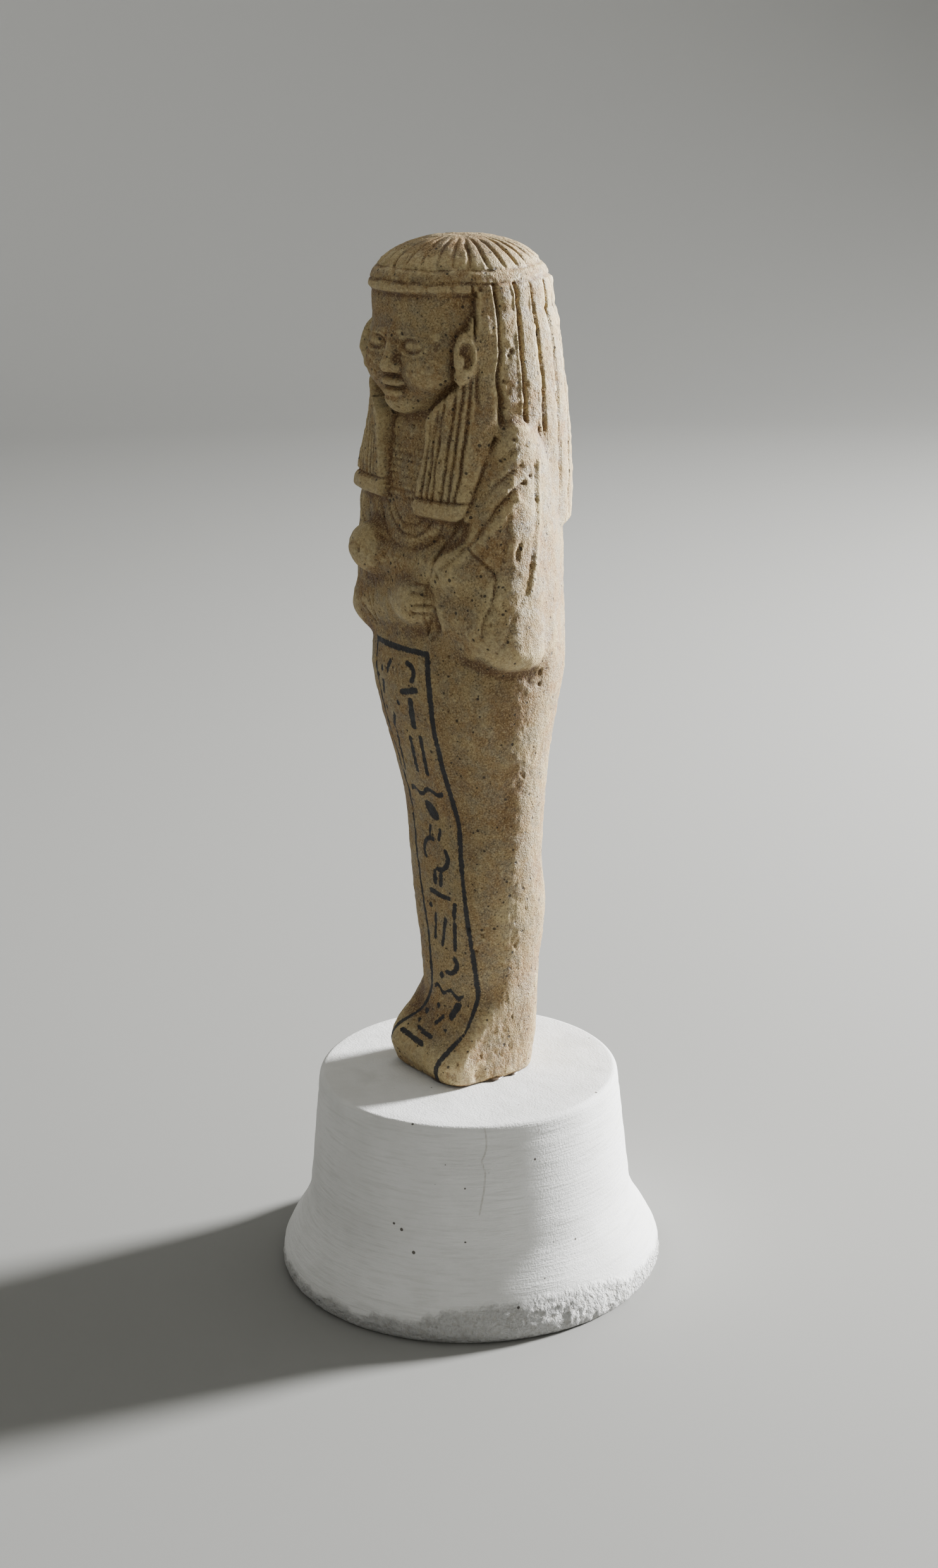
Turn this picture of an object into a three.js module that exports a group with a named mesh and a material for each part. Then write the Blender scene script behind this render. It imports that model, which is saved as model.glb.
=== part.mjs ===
// An ushabti figurine of faience, standing on a round plaster stand.
// Millimetres, +Z up. The stand's axis is the Z axis and the figure looks along -Y.
import * as THREE from "three";

// Driving sizes
const figureHeight = 138.8; // sole to crown
const standHeight = 35.3;
const standTopRadius = 25.3; // at the top, outside the rounded edge
const standTaper = 3.7; // how much wider the body is at the ground, without the flare
const standFlareWidth = 4; // how far the foot flares out beyond that
const standFlareHeight = 12.6;
const standEdgeRound = 1; // rounding of the top edge
const standFootLift = 1.9; // height of the widest ring above the ground
const standFootInset = 1.3; // how far the underside lies inside the widest ring
const standSegments = 40;
const beddingGap = 0.3; // room under the sole for the adhesive that holds the figure
const figureOffsetX = -1.5; // the figure stands a little off the stand's axis
const figureOffsetY = 2.4;

// The figure is drawn on a grid of squares, and every length of its form below is in squares
const gridSquares = 138.8;
const gridUnit = figureHeight / gridSquares;

const clamp = (v, low, high) => Math.min(Math.max(v, low), high);
const smoothStep = (from, to, v) => {
  const t = clamp((v - from) / (to - from), 0, 1);
  return t * t * (3 - 2 * t);
};

// Forms are fields, negative inside. Two of them join or cut with a soft seam k wide.
function join(a, b, k) {
  const h = Math.max(k - Math.abs(a - b), 0) / k;
  return Math.min(a, b) - (h * h * k) / 4;
}
const cut = (a, b, k) => -join(-a, -b, k);

function ellipsoid(x, y, z, [cx, cy, cz], [rx, ry, rz]) {
  const near = Math.hypot((x - cx) / rx, (y - cy) / ry, (z - cz) / rz);
  const far = Math.hypot((x - cx) / rx ** 2, (y - cy) / ry ** 2, (z - cz) / rz ** 2);
  return far < 1e-9 ? -Math.min(rx, ry, rz) : (near * (near - 1)) / far;
}

// A rounded rod whose radius runs from one value to another
function limb(x, y, z, from, to, fromRadius, toRadius) {
  const along = to.map((v, i) => v - from[i]);
  const offset = [x - from[0], y - from[1], z - from[2]];
  const lengthSquared = along[0] ** 2 + along[1] ** 2 + along[2] ** 2;
  const t = clamp((offset[0] * along[0] + offset[1] * along[1] + offset[2] * along[2]) / lengthSquared, 0, 1);
  const away = Math.hypot(...offset.map((v, i) => v - t * along[i]));
  return away - (fromRadius + t * (toRadius - fromRadius));
}

// The section of a lofted form at a height, from stations of [height, half width, front, back]
function section(stations, z) {
  const last = stations.length - 1;
  if (z <= stations[0][0]) return stations[0];
  if (z >= stations[last][0]) return stations[last];
  let i = 1;
  while (stations[i][0] < z) i++;
  const low = stations[i - 1], high = stations[i];
  const before = stations[Math.max(i - 2, 0)], after = stations[Math.min(i + 1, last)];
  const span = high[0] - low[0];
  const t = (z - low[0]) / span;
  return low.map((v, c) => {
    const leave = ((high[c] - before[c]) / (high[0] - before[0])) * span;
    const arrive = ((after[c] - v) / (after[0] - low[0])) * span;
    return v + t * (leave + t * (3 * (high[c] - v) - 2 * leave - arrive + t * (2 * (v - high[c]) + leave + arrive)));
  });
}

function loft(x, y, z, stations, squareness) {
  const [, halfWidth, front, back] = section(stations, z);
  const halfDepth = (back - front) / 2;
  const across = Math.abs(x) / halfWidth;
  const along = Math.abs(y - (back + front) / 2) / halfDepth;
  return ((across ** squareness + along ** squareness) ** (1 / squareness) - 1) * Math.min(halfWidth, halfDepth);
}

// Legs wrapped as one column, then hips, back and chest
const trunkStations = [
  [0, 8.4, -7.6, 8.5], [6, 9, -7.5, 10.2], [15, 9.7, -7.7, 10.9], [22, 10.7, -7.9, 11.6],
  [29, 11.8, -8.4, 11.8], [38, 12.8, -8.7, 10.5], [47, 13.8, -9, 10.8], [56, 15.2, -11.2, 11.5],
  [64, 16.7, -13.2, 12.6], [71, 17.6, -14, 14], [84, 16.4, -12.4, 14.4], [96, 16, -12, 14.2],
  [108, 14, -9.8, 13.2],
];
const chestStations = [
  [72, 16.4, -13, 4], [84, 17.2, -12.3, 4], [94, 17.4, -12, 4], [102, 16.6, -11.3, 4], [108, 14.8, -10, 4],
];
const throat = 111;

// Both upper arms in their wide sleeves, with the chest between them
const sleeveStations = [
  [68, 19.6, -12.6, 5], [76, 21, -13.6, 5.8], [84, 20.9, -13.9, 6], [92, 20.4, -13.2, 6.2],
  [100, 19.2, -12, 6.2], [106, 17.8, -9.8, 6], [111, 15.6, -7.4, 5.4],
];
const shoulderTop = 110.4;
const rightSleeveFlatter = 0.9;

// Hair falling behind the shoulders, and the two lappets that lie on the chest
const wigStations = [
  [90, 15, -13, 16.8], [98, 15.6, -13, 17.1], [106, 16, -13, 16.7], [114, 16, -14, 15.9],
  [120, 15.7, -14.8, 15.3], [126, 15.2, -15.2, 14.7], [131, 14.7, -15.5, 14.1],
];
const lappetStations = [
  [96, 18.4, -13.7, 6], [100, 18.2, -13.6, 6], [104, 17.2, -13.2, 6], [109, 15.8, -12.4, 6], [118, 15.6, -12, 6],
];
const lappetEnd = 96.9; // on the figure's left
const lappetEndRight = 98.6;
const crownTop = gridSquares;
const crownSpring = 128; // height where the sides of the head turn over into the crown
const crownForward = 0.4;
const filletHeight = 134;
const hairline = 131;
const hairEndBehind = 92.5;

// Locks of hair lie side by side, finer ones in the lappets in front
const coarseLock = 12; // degrees around the head
const fineLock = 6;
const fineSpan = 60; // degrees from the nose that hold the finer locks
function grooveBetween(angle, lock) {
  const share = Math.abs(angle / lock) % 1;
  return Math.abs(2 * share - 1) ** 1.7;
}
const angleOf = (x, y) => THREE.MathUtils.radToDeg(Math.atan2(x, -y));

function hairOpening(x, y, z) {
  const low = smoothStep(118, 108, z), lower = smoothStep(110, 98, z);
  const half = 12.3 - 6.6 * low - 1.8 * lower;
  return Math.max(Math.abs(x - 0.5 * low) - half, y + 3, z - hairline);
}

function hairForm(x, y, z) {
  const widen = 1 + 0.03 * Math.max(crownSpring - z, 0);
  const around = Math.hypot(x / 14.7, (y + crownForward) / 14.9) / widen;
  const rise = Math.max(z - crownSpring, 0) / (crownTop - crownSpring);
  const dome = ((around ** 2.5 + rise ** 2.5) ** (1 / 2.5) - 1) * 12;
  let form = cut(loft(x, y, z, wigStations, 2.1), dome, 0.5);
  const fallEnd = y < 0 ? 104 : hairEndBehind + 0.12 * y;
  form = cut(form, fallEnd - z, 1.2);
  const angle = angleOf(x, y);
  const fillet = smoothStep(1.2, 0.8, Math.abs(z - filletHeight));
  const groove = grooveBetween(angle, coarseLock) * smoothStep(0, 9, Math.hypot(x, y));
  form += 0.65 * groove * (1 - fillet) - 0.15 * fillet;
  // Lappets end in a turned-up band, and stop short of the sleeves
  let lappets = loft(x, y, z, lappetStations, 2.8);
  const end = x > 0 ? lappetEnd : lappetEndRight;
  const band = smoothStep(1.4, 0.9, Math.abs(z - end - 1.3));
  lappets += 0.5 * grooveBetween(angle, fineLock) * (1 - band) - 0.45 * band;
  const outerEdge = 15.3 + 0.05 * (z - end);
  lappets = cut(lappets, Math.max(Math.abs(x) - outerEdge, y + 4), 0.8);
  lappets = cut(lappets, Math.max(end - z, z - 119), 0.6);
  return cut(join(form, lappets, 0.8), -hairOpening(x, y, z), 1.8);
}

const collarRow = 4.2; // width of a row of the collar
function bodyForm(x, y, z) {
  let form = loft(x, y, z, trunkStations, 2.1);
  const chest = cut(loft(x, y, z, chestStations, 2.6), 74 - z, 4);
  form = cut(join(form, chest, 1), z - throat, 3);
  // A broad collar of beads lies on the chest, in rows around the throat
  const reach = Math.hypot(x - 0.5, (z - throat) * 0.86);
  const plate = smoothStep(17.2, 15.8, reach) * smoothStep(0, -4, y);
  const row = 0.5 + 0.5 * Math.cos((2 * Math.PI * reach) / collarRow);
  return form - plate * (0.9 - 0.35 * row);
}

// Folds of the sleeves, as paths of [degrees from the nose, height]
const sleeveFolds = [
  [[82, 102.4], [72, 100.4], [55, 93.4], [42, 90]],
  [[88, 105], [81, 90.5], [72, 82], [66, 76.8]],
];
const foldScale = 0.34; // squares to a degree on the arm
function foldDepth(x, y, z) {
  const angle = Math.abs(angleOf(x, y)) * foldScale;
  let nearest = 9;
  for (const path of sleeveFolds) {
    for (let i = 1; i < path.length; i++) {
      const from = [path[i - 1][0] * foldScale, 0, path[i - 1][1]];
      const to = [path[i][0] * foldScale, 0, path[i][1]];
      nearest = Math.min(nearest, limb(angle, 0, z, from, to, 0, 0));
    }
  }
  return smoothStep(2.8, 0, nearest);
}

function sleeveForm(x, y, z) {
  const across = Math.abs(x);
  let form = loft(x, y, z, sleeveStations, 2.5);
  const hem = 77.8 - 0.68 * clamp(y + 13.6, 0, 9.6) + 0.3 * Math.max(y + 2, 0);
  const opening = 9.4 + 5.4 * smoothStep(88, 96, z) + 0.15 * Math.max(z - 96, 0);
  form += 0.7 * foldDepth(x, y, z);
  if (x < 0) form += rightSleeveFlatter * smoothStep(-6, -12, y) * smoothStep(77, 84, z);
  form = cut(form, hem - z, 2.4);
  form = cut(form, opening - across, 1.4);
  return cut(form, z - shoulderTop, 4);
}

// Crossed forearms with closed fists, the left above the right
function armForm(x, y, z) {
  const leftForearm = limb(x, y, z, [12, -10.4, 88.6], [-4, -11.8, 89], 3.1, 2.8);
  const rightForearm = limb(x, y, z, [-13, -8.8, 79.6], [1, -11.2, 82.4], 3.5, 3.3);
  const leftFist = ellipsoid(x, y, z, [-7.2, -13.2, 89.7], [3.8, 3.6, 3.6]);
  const rightFist = ellipsoid(x, y, z, [4, -12.4, 83.1], [4.4, 3.6, 4]);
  const forearms = join(leftForearm, rightForearm, 0.6);
  return join(join(forearms, leftFist, 0.8), rightFist, 0.8);
}

// A calm, even face: the hairline, brow, nose and chin stand a third of the face apart
const chinHeight = 112.4;
const faceThird = (hairline - chinHeight) / 3;
const noseBase = chinHeight + faceThird;
const browHeight = noseBase + faceThird;
const mouthHeight = noseBase - faceThird / 3;
const eyeHeight = browHeight - 1.6;
const eyeSpacing = 4.3;

const headStations = [
  [chinHeight, 7.4, -12.4, 6], [mouthHeight, 10.2, -13.1, 6], [noseBase, 11.6, -13.3, 7],
  [browHeight, 12.4, -13.4, 7], [hairline + 1, 12.2, -13.7, 7],
];

function faceForm(x, y, z) {
  const ax = Math.abs(x);
  let form = loft(x, y, z, headStations, 2.3);
  form = cut(form, Math.max(chinHeight - z, z - hairline - 1.5), 3);
  form = join(form, ellipsoid(x, y, z, [0, -11.4, chinHeight + 1.8], [2.8, 2.4, 1.9]), 2);
  form = join(form, ellipsoid(ax, y, z, [6, -10.2, noseBase + 0.8], [3.6, 3.4, 3.4]), 2.5);
  form = cut(form, -ellipsoid(ax, y, z, [eyeSpacing, -14.8, eyeHeight], [3.5, 2, 1.6]), 1.2);
  form = join(form, ellipsoid(ax, y, z, [eyeSpacing, -11.3, eyeHeight], [2.5, 2.1, 1.2]), 0.3);
  form = join(form, limb(x, y, z, [0, -12.8, browHeight], [0, -14.4, noseBase + 1.2], 0.9, 1.4), 1.2);
  form = join(form, ellipsoid(ax, y, z, [1.3, -13.7, noseBase + 0.8], [1.1, 1.2, 0.9]), 0.6);
  form = join(form, ellipsoid(x, y, z, [0, -13.5, mouthHeight + 0.7], [2.9, 1.2, 0.8]), 0.4);
  form = join(form, ellipsoid(x, y, z, [0, -13.3, mouthHeight - 0.8], [2.4, 1.3, 0.9]), 0.4);
  form = join(form, ellipsoid(x, y, z, [0, -2.4, 109], [11, 8.2, 11]), 1.5);
  const earHeight = (browHeight + noseBase) / 2;
  const ear = ellipsoid(ax, y, z, [12.6, -8.2, earHeight], [1.6, 2, 3.5]);
  const shell = ellipsoid(ax, y, z, [13.6, -9.4, earHeight + 0.3], [1.2, 1.3, 2.2]);
  return join(form, cut(ear, -shell, 0.5), 0.8);
}

// The foot is a block with a sloping instep. Its toe edge is worn down on the figure's left.
const toeFront = -12.6;
const toeHeight = 6.9;
const toeWear = 0.22; // fall of the toe edge towards the left
const instepSlope = 0.68;
function footForm(x, y, z) {
  const ahead = clamp(1 - (y - toeFront) / 8, 0, 1);
  const top = toeHeight + instepSlope * (y - toeFront) - toeWear * (x + 9.4) * ahead;
  const shape = (z - top) / Math.hypot(1, instepSlope);
  const front = toeFront - y + 0.42 * Math.max(4 - z, 0);
  let form = cut(Math.abs(x) - 9.4, front, 4.4);
  form = cut(form, shape, 3);
  return cut(form, Math.max(y - 6, z - 15), 4);
}

function figureField(x, y, z) {
  let form = join(bodyForm(x, y, z), footForm(x, y, z), 2);
  form = join(form, sleeveForm(x, y, z), 0.8 + 4 * smoothStep(-2, 5, y));
  form = join(form, armForm(x, y, z), 1);
  form = join(form, faceForm(x, y, z), 1);
  form = join(form, hairForm(x, y, z), 0.4);
  return cut(form, -z, 0.9);
}

// Distance from a point on the spine to the surface, the outermost one if there are several
const searchFrom = 26;
const searchStep = 0.6;
const searchHalvings = 12;
function reachAlong(height, direction) {
  const value = (r) => figureField(r * direction[0], r * direction[1], height + r * direction[2]);
  let outside = searchFrom;
  while (outside > searchStep && value(outside - searchStep) > 0) outside -= searchStep;
  let inside = outside - searchStep;
  for (let i = 0; i < searchHalvings; i++) {
    const middle = (inside + outside) / 2;
    if (value(middle) > 0) outside = middle;
    else inside = middle;
  }
  return inside;
}

// Columns follow the locks of hair and stand closest in front, with half as many around the legs.
// Each zone on one side is [from degrees, to degrees, columns].
const columnZones = [
  [0, fineSpan, (2 * fineSpan) / fineLock],
  [fineSpan, 108, 12],
  [108, 180, 12],
];
const sideColumns = columnZones.reduce((sum, zone) => sum + zone[2], 0);
const upperColumns = 2 * sideColumns;
const legColumns = upperColumns / 2;
function columnAngle(share) {
  let column = Math.abs(share) * sideColumns;
  let i = 0;
  while (column > columnZones[i][2] && i < columnZones.length - 1) column -= columnZones[i++][2];
  const [from, to, columns] = columnZones[i];
  return THREE.MathUtils.degToRad(Math.sign(share) * (from + ((to - from) * column) / columns));
}

// One ring of surface points around the spine. A tilt lifts its rays over the crown.
function ring(height, tilt, columns) {
  return Array.from({ length: columns }, (_, i) => {
    const angle = columnAngle((2 * i) / columns - 1);
    const flat = Math.cos(tilt);
    const direction = [Math.sin(angle) * flat, -Math.cos(angle) * flat, Math.sin(tilt)];
    const r = reachAlong(height, direction);
    return [r * direction[0], r * direction[1], height + r * direction[2]];
  });
}

// Heights of the rings, as [from, to, count]
const legRings = [[0.25, 1.2, 1], [1.2, 15, 7], [15, 66, 6]];
const upperRings = [[70, 86, 8], [86, 112, 14], [112, hairline, 13]];
const crownTilts = [0, 4, 8, 12, 15.5, 21, 32, 52]; // degrees, around the fillet and over the crown
const spread = ([from, to, count]) => Array.from({ length: count }, (_, i) => from + ((to - from) * i) / count);

function figureRings() {
  const legs = legRings.flatMap(spread).map((height) => ring(height, 0, legColumns));
  const upper = upperRings.flatMap(spread).map((height) => ring(height, 0, upperColumns));
  const crown = crownTilts.map((tilt) => ring(hairline, THREE.MathUtils.degToRad(tilt), upperColumns));
  return [...legs, ...upper, ...crown];
}

// Triangles between two rings, whose numbers of points may differ
function stitch(lower, upper, triangles) {
  let i = 0, j = 0;
  while (i < lower.count || j < upper.count) {
    const a = lower.start + (i % lower.count), b = upper.start + (j % upper.count);
    if (j === upper.count || (i < lower.count && (i + 1) / lower.count <= (j + 1) / upper.count)) {
      i++;
      triangles.push(a, lower.start + (i % lower.count), b);
    } else {
      j++;
      triangles.push(a, upper.start + (j % upper.count), b);
    }
  }
}

function figureGeometry() {
  const positions = [], triangles = [], spans = [];
  for (const points of figureRings()) {
    spans.push({ start: positions.length / 3, count: points.length });
    positions.push(...points.flat());
  }
  for (let i = 1; i < spans.length; i++) stitch(spans[i - 1], spans[i], triangles);
  // A flat fan closes the sole and another the crown
  const sole = positions.length / 3, crown = sole + 1;
  const soleHeight = positions[2];
  positions.push(0, 0, soleHeight, 0, 0, hairline + reachAlong(hairline, [0, 0, 1]));
  const first = spans[0], last = spans.at(-1);
  for (let i = 0; i < first.count; i++) triangles.push(sole, (i + 1) % first.count, i);
  for (let i = 0; i < last.count; i++) triangles.push(last.start + i, last.start + ((i + 1) % last.count), crown);
  const geometry = new THREE.BufferGeometry();
  geometry.setAttribute("position", new THREE.Float32BufferAttribute(positions, 3));
  geometry.setIndex(triangles);
  geometry.translate(0, 0, -soleHeight);
  geometry.scale(gridUnit, gridUnit, gridUnit);
  geometry.computeVertexNormals();
  return geometry;
}

// The stand tapers upwards, flares out at its foot and has a rounded top edge
const flareSteps = 7;
const bodySteps = 2;
const edgeSteps = 2;
function standGeometry() {
  const radiusAt = (z) => {
    const flare = 0.5 + 0.5 * Math.cos(Math.PI * clamp((z - standFootLift) / standFlareHeight, 0, 1));
    return standTopRadius + standTaper * (1 - z / standHeight) + standFlareWidth * flare;
  };
  const footRadius = radiusAt(standFootLift);
  const profile = [new THREE.Vector2(0, 0), new THREE.Vector2(footRadius - standFootInset, 0)];
  const flareTop = standFootLift + standFlareHeight;
  for (let i = 0; i <= flareSteps; i++) {
    const z = standFootLift + (standFlareHeight * i) / flareSteps;
    profile.push(new THREE.Vector2(radiusAt(z), z));
  }
  const edge = standHeight - standEdgeRound;
  for (let i = 1; i <= bodySteps; i++) {
    const z = flareTop + ((edge - flareTop) * i) / bodySteps;
    profile.push(new THREE.Vector2(radiusAt(z), z));
  }
  for (let i = 1; i <= edgeSteps; i++) {
    const turn = (i / edgeSteps) * (Math.PI / 2);
    const radius = radiusAt(edge) - standEdgeRound * (1 - Math.cos(turn));
    profile.push(new THREE.Vector2(radius, edge + standEdgeRound * Math.sin(turn)));
  }
  profile.push(new THREE.Vector2(0, standHeight));
  const geometry = new THREE.LatheGeometry(profile, standSegments);
  geometry.rotateX(Math.PI / 2);
  return geometry;
}

const faience = new THREE.MeshStandardMaterial({ color: 0xb0a184, roughness: 0.78, metalness: 0 });
const plaster = new THREE.MeshStandardMaterial({ color: 0xe9e9e6, roughness: 0.92, metalness: 0 });

const figure = new THREE.Mesh(figureGeometry(), faience);
figure.name = "figure";
figure.position.set(figureOffsetX, figureOffsetY, standHeight + beddingGap);

const stand = new THREE.Mesh(standGeometry(), plaster);
stand.name = "stand";

const ushabti = new THREE.Group();
ushabti.add(stand, figure);
export default ushabti;
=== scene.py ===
from math import cos, pi, radians, sin

import bmesh
import bpy
import numpy as np
from mathutils import Matrix, Vector


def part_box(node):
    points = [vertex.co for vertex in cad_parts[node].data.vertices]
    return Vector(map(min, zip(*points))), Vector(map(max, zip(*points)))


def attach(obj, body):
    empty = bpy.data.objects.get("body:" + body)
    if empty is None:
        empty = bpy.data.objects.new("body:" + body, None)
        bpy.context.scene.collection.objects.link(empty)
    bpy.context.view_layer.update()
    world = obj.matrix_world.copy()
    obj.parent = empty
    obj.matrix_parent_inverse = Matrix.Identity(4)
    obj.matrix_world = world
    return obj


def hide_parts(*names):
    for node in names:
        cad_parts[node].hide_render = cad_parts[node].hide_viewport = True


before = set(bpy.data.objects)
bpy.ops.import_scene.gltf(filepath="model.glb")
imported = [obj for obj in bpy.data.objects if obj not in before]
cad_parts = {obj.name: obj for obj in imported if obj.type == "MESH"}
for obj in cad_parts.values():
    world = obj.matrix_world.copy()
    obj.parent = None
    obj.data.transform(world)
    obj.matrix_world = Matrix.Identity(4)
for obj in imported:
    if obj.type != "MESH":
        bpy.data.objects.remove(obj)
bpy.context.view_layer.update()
mm = 0.001

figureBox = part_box("figure")
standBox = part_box("stand")
standHeight = (standBox[1].z - standBox[0].z) / mm
soleHeight = figureBox[0].z


# Shared helpers

def clearSelection():
    if bpy.context.object and bpy.context.object.mode != "OBJECT":
        bpy.ops.object.mode_set(mode="OBJECT")
    bpy.ops.object.select_all(action="DESELECT")


def newPiece(name):
    # names the object that an operator has just made, and puts its place into its mesh
    piece = bpy.context.active_object
    piece.name = name
    piece.data.name = name
    bpy.ops.object.transform_apply(location=True, rotation=True, scale=True)
    return piece


def turnedPiece(name, profile, segments, closeStart=True):
    # a circle drawn on from ring to ring; the profile is a list of (radius, height) in mm
    clearSelection()
    bpy.ops.mesh.primitive_circle_add(vertices=segments, radius=profile[0][0] * mm, fill_type="NGON")
    bpy.ops.object.mode_set(mode="EDIT")
    bpy.ops.mesh.select_mode(type="FACE")
    bpy.ops.mesh.select_all(action="SELECT")
    bpy.ops.transform.translate(value=(0, 0, profile[0][1] * mm))
    for (radius, height), (nextRadius, nextHeight) in zip(profile, profile[1:]):
        scale = nextRadius / radius
        bpy.ops.mesh.extrude_region_move(TRANSFORM_OT_translate={"value": (0, 0, (nextHeight - height) * mm)})
        bpy.ops.transform.resize(value=(scale, scale, 1), center_override=(0, 0, profile[0][1] * mm))
    bpy.ops.mesh.poke()
    if closeStart:
        bpy.ops.mesh.select_mode(type="EDGE")
        bpy.ops.mesh.select_all(action="DESELECT")
        mesh = bmesh.from_edit_mesh(bpy.context.edit_object.data)
        for edge in [edge for edge in mesh.edges if edge.is_boundary]:
            edge.select = True
        bmesh.update_edit_mesh(bpy.context.edit_object.data)
        bpy.ops.mesh.edge_face_add()
        bpy.ops.mesh.poke()
    bpy.ops.mesh.select_mode(type="VERT")
    bpy.ops.mesh.select_all(action="SELECT")
    bpy.ops.mesh.normals_make_consistent(inside=False)
    bpy.ops.object.mode_set(mode="OBJECT")
    return newPiece(name)


def pointsOf(piece):
    flat = np.empty(len(piece.data.vertices) * 3, np.float32)
    piece.data.vertices.foreach_get("co", flat)
    return flat.reshape(-1, 3).astype(float)


def movePoints(piece, points):
    piece.data.vertices.foreach_set("co", np.asarray(points, np.float32).ravel())
    piece.data.update()


def keepValues(piece, name, values):
    # one number for each point, which a material reads by name
    attribute = piece.data.attributes.new(name, "FLOAT", "POINT")
    attribute.data.foreach_set("value", np.asarray(values, np.float32))


# Smooth random numbers, the same each run

def step(start, end, v):
    t = np.clip((v - start) / (end - start), 0, 1)
    return t * t * (3 - 2 * t)


def waver(v, size, seed):
    # a wandering line between -1 and 1 that turns about every `size`
    values = np.random.default_rng(seed).uniform(-1, 1, 256)
    t = v / size + 1000
    cell = np.floor(t).astype(int)
    share = step(0, 1, t - cell)
    return values[cell % 256] * (1 - share) + values[(cell + 1) % 256] * share


def lumps(x, y, z, size, seed):
    # soft lumps between -1 and 1, about `size` across
    values = np.random.default_rng(seed).uniform(-1, 1, (32, 32, 32))
    cells, shares = [], []
    for v in (x, y, z):
        t = v / size + 1000
        cell = np.floor(t).astype(int)
        cells.append(cell)
        shares.append(step(0, 1, t - cell))
    total = 0
    for i in (0, 1):
        for j in (0, 1):
            for k in (0, 1):
                weight = 1
                for share, side in zip(shares, (i, j, k)):
                    weight = weight * (share if side else 1 - share)
                total = total + weight * values[(cells[0] + i) % 32, (cells[1] + j) % 32, (cells[2] + k) % 32]
    return total


def pits(x, y, z, spacing, seed, sizes):
    # round pits at random places about `spacing` apart, 1 at a pit's middle and 0 outside it
    rng = np.random.default_rng(seed)
    places = rng.uniform(0, 1, (16, 16, 16, 3))
    radii = rng.uniform(sizes[0], sizes[1], (16, 16, 16))
    cells = [np.floor(v / spacing).astype(int) for v in (x, y, z)]
    deepest = np.zeros_like(x)
    for i in (-1, 0, 1):
        for j in (-1, 0, 1):
            for k in (-1, 0, 1):
                near = [cells[0] + i, cells[1] + j, cells[2] + k]
                index = tuple(c % 16 for c in near)
                middle = [(near[c] + places[index][:, c]) * spacing for c in range(3)]
                away = np.sqrt(sum((v - m) ** 2 for v, m in zip((x, y, z), middle)))
                deepest = np.maximum(deepest, 1 - step(0.35, 1, away / radii[index]))
    return deepest


# Forms are fields, negative inside. Two of them join or cut with a soft seam k wide.

def join(a, b, k):
    h = np.maximum(k - np.abs(a - b), 0) / k
    return np.minimum(a, b) - h * h * k / 4


def cut(a, b, k):
    return -join(-a, -b, k)


def egg(x, y, z, centre, radii):
    offset = [v - c for v, c in zip((x, y, z), centre)]
    near = np.sqrt(sum((v / r) ** 2 for v, r in zip(offset, radii)))
    far = np.sqrt(sum((v / r ** 2) ** 2 for v, r in zip(offset, radii)))
    return near * (near - 1) / np.maximum(far, 1e-9)


def rod(x, y, z, start, end, startRadius, endRadius):
    along = [b - a for a, b in zip(start, end)]
    offset = [v - a for v, a in zip((x, y, z), start)]
    t = np.clip(sum(o * a for o, a in zip(offset, along)) / sum(a * a for a in along), 0, 1)
    away = np.sqrt(sum((o - t * a) ** 2 for o, a in zip(offset, along)))
    return away - (startRadius + t * (endRadius - startRadius))


def section(stations, z):
    # half width, front and back of a lofted form at each height, on a smooth curve through its stations
    table = np.array(stations, float)
    heights = table[:, 0]
    last = len(table) - 1
    high = np.clip(np.searchsorted(heights, z), 1, last)
    low = high - 1
    before, after = np.maximum(low - 1, 0), np.minimum(high + 1, last)
    span = heights[high] - heights[low]
    t = np.clip((z - heights[low]) / span, 0, 1)
    found = []
    for c in (1, 2, 3):
        v, w = table[low, c], table[high, c]
        leave = (w - table[before, c]) / (heights[high] - heights[before]) * span
        arrive = (table[after, c] - v) / (heights[after] - heights[low]) * span
        bend = 3 * (w - v) - 2 * leave - arrive + t * (2 * (v - w) + leave + arrive)
        found.append(v + t * (leave + t * bend))
    return found


def loft(x, y, z, stations, squareness):
    halfWidth, front, back = section(stations, z)
    halfDepth = (back - front) / 2
    across = np.abs(x) / halfWidth
    along = np.abs(y - (back + front) / 2) / halfDepth
    reach = (across ** squareness + along ** squareness) ** (1 / squareness)
    return (reach - 1) * np.minimum(halfWidth, halfDepth)


def pathDistance(u, v, points):
    # distance in a plane to an open path of straight stretches
    nearest = None
    for (au, av), (bu, bv) in zip(points, points[1:]):
        du, dv = bu - au, bv - av
        t = np.clip(((u - au) * du + (v - av) * dv) / (du * du + dv * dv), 0, 1)
        away = np.hypot(u - au - t * du, v - av - t * dv)
        nearest = away if nearest is None else np.minimum(nearest, away)
    return nearest


def dip(away, width):
    # a rounded groove's profile, 1 at its middle
    return np.exp(-(away / width) ** 2)


# The camera stands where the photograph was taken from, a little above the head and looking down

cameraSettings = {
    "azimuth": 54,  # degrees around the stand's axis, 0 looks along +Y
    "distance": 392.36 * mm,
    "height": 208.51 * mm,
    "pitch": 17.417,
    "yaw": 0.135,
    "roll": -0.943,
    "lens": 57.34,
    "sensor": 36,
}


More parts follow.
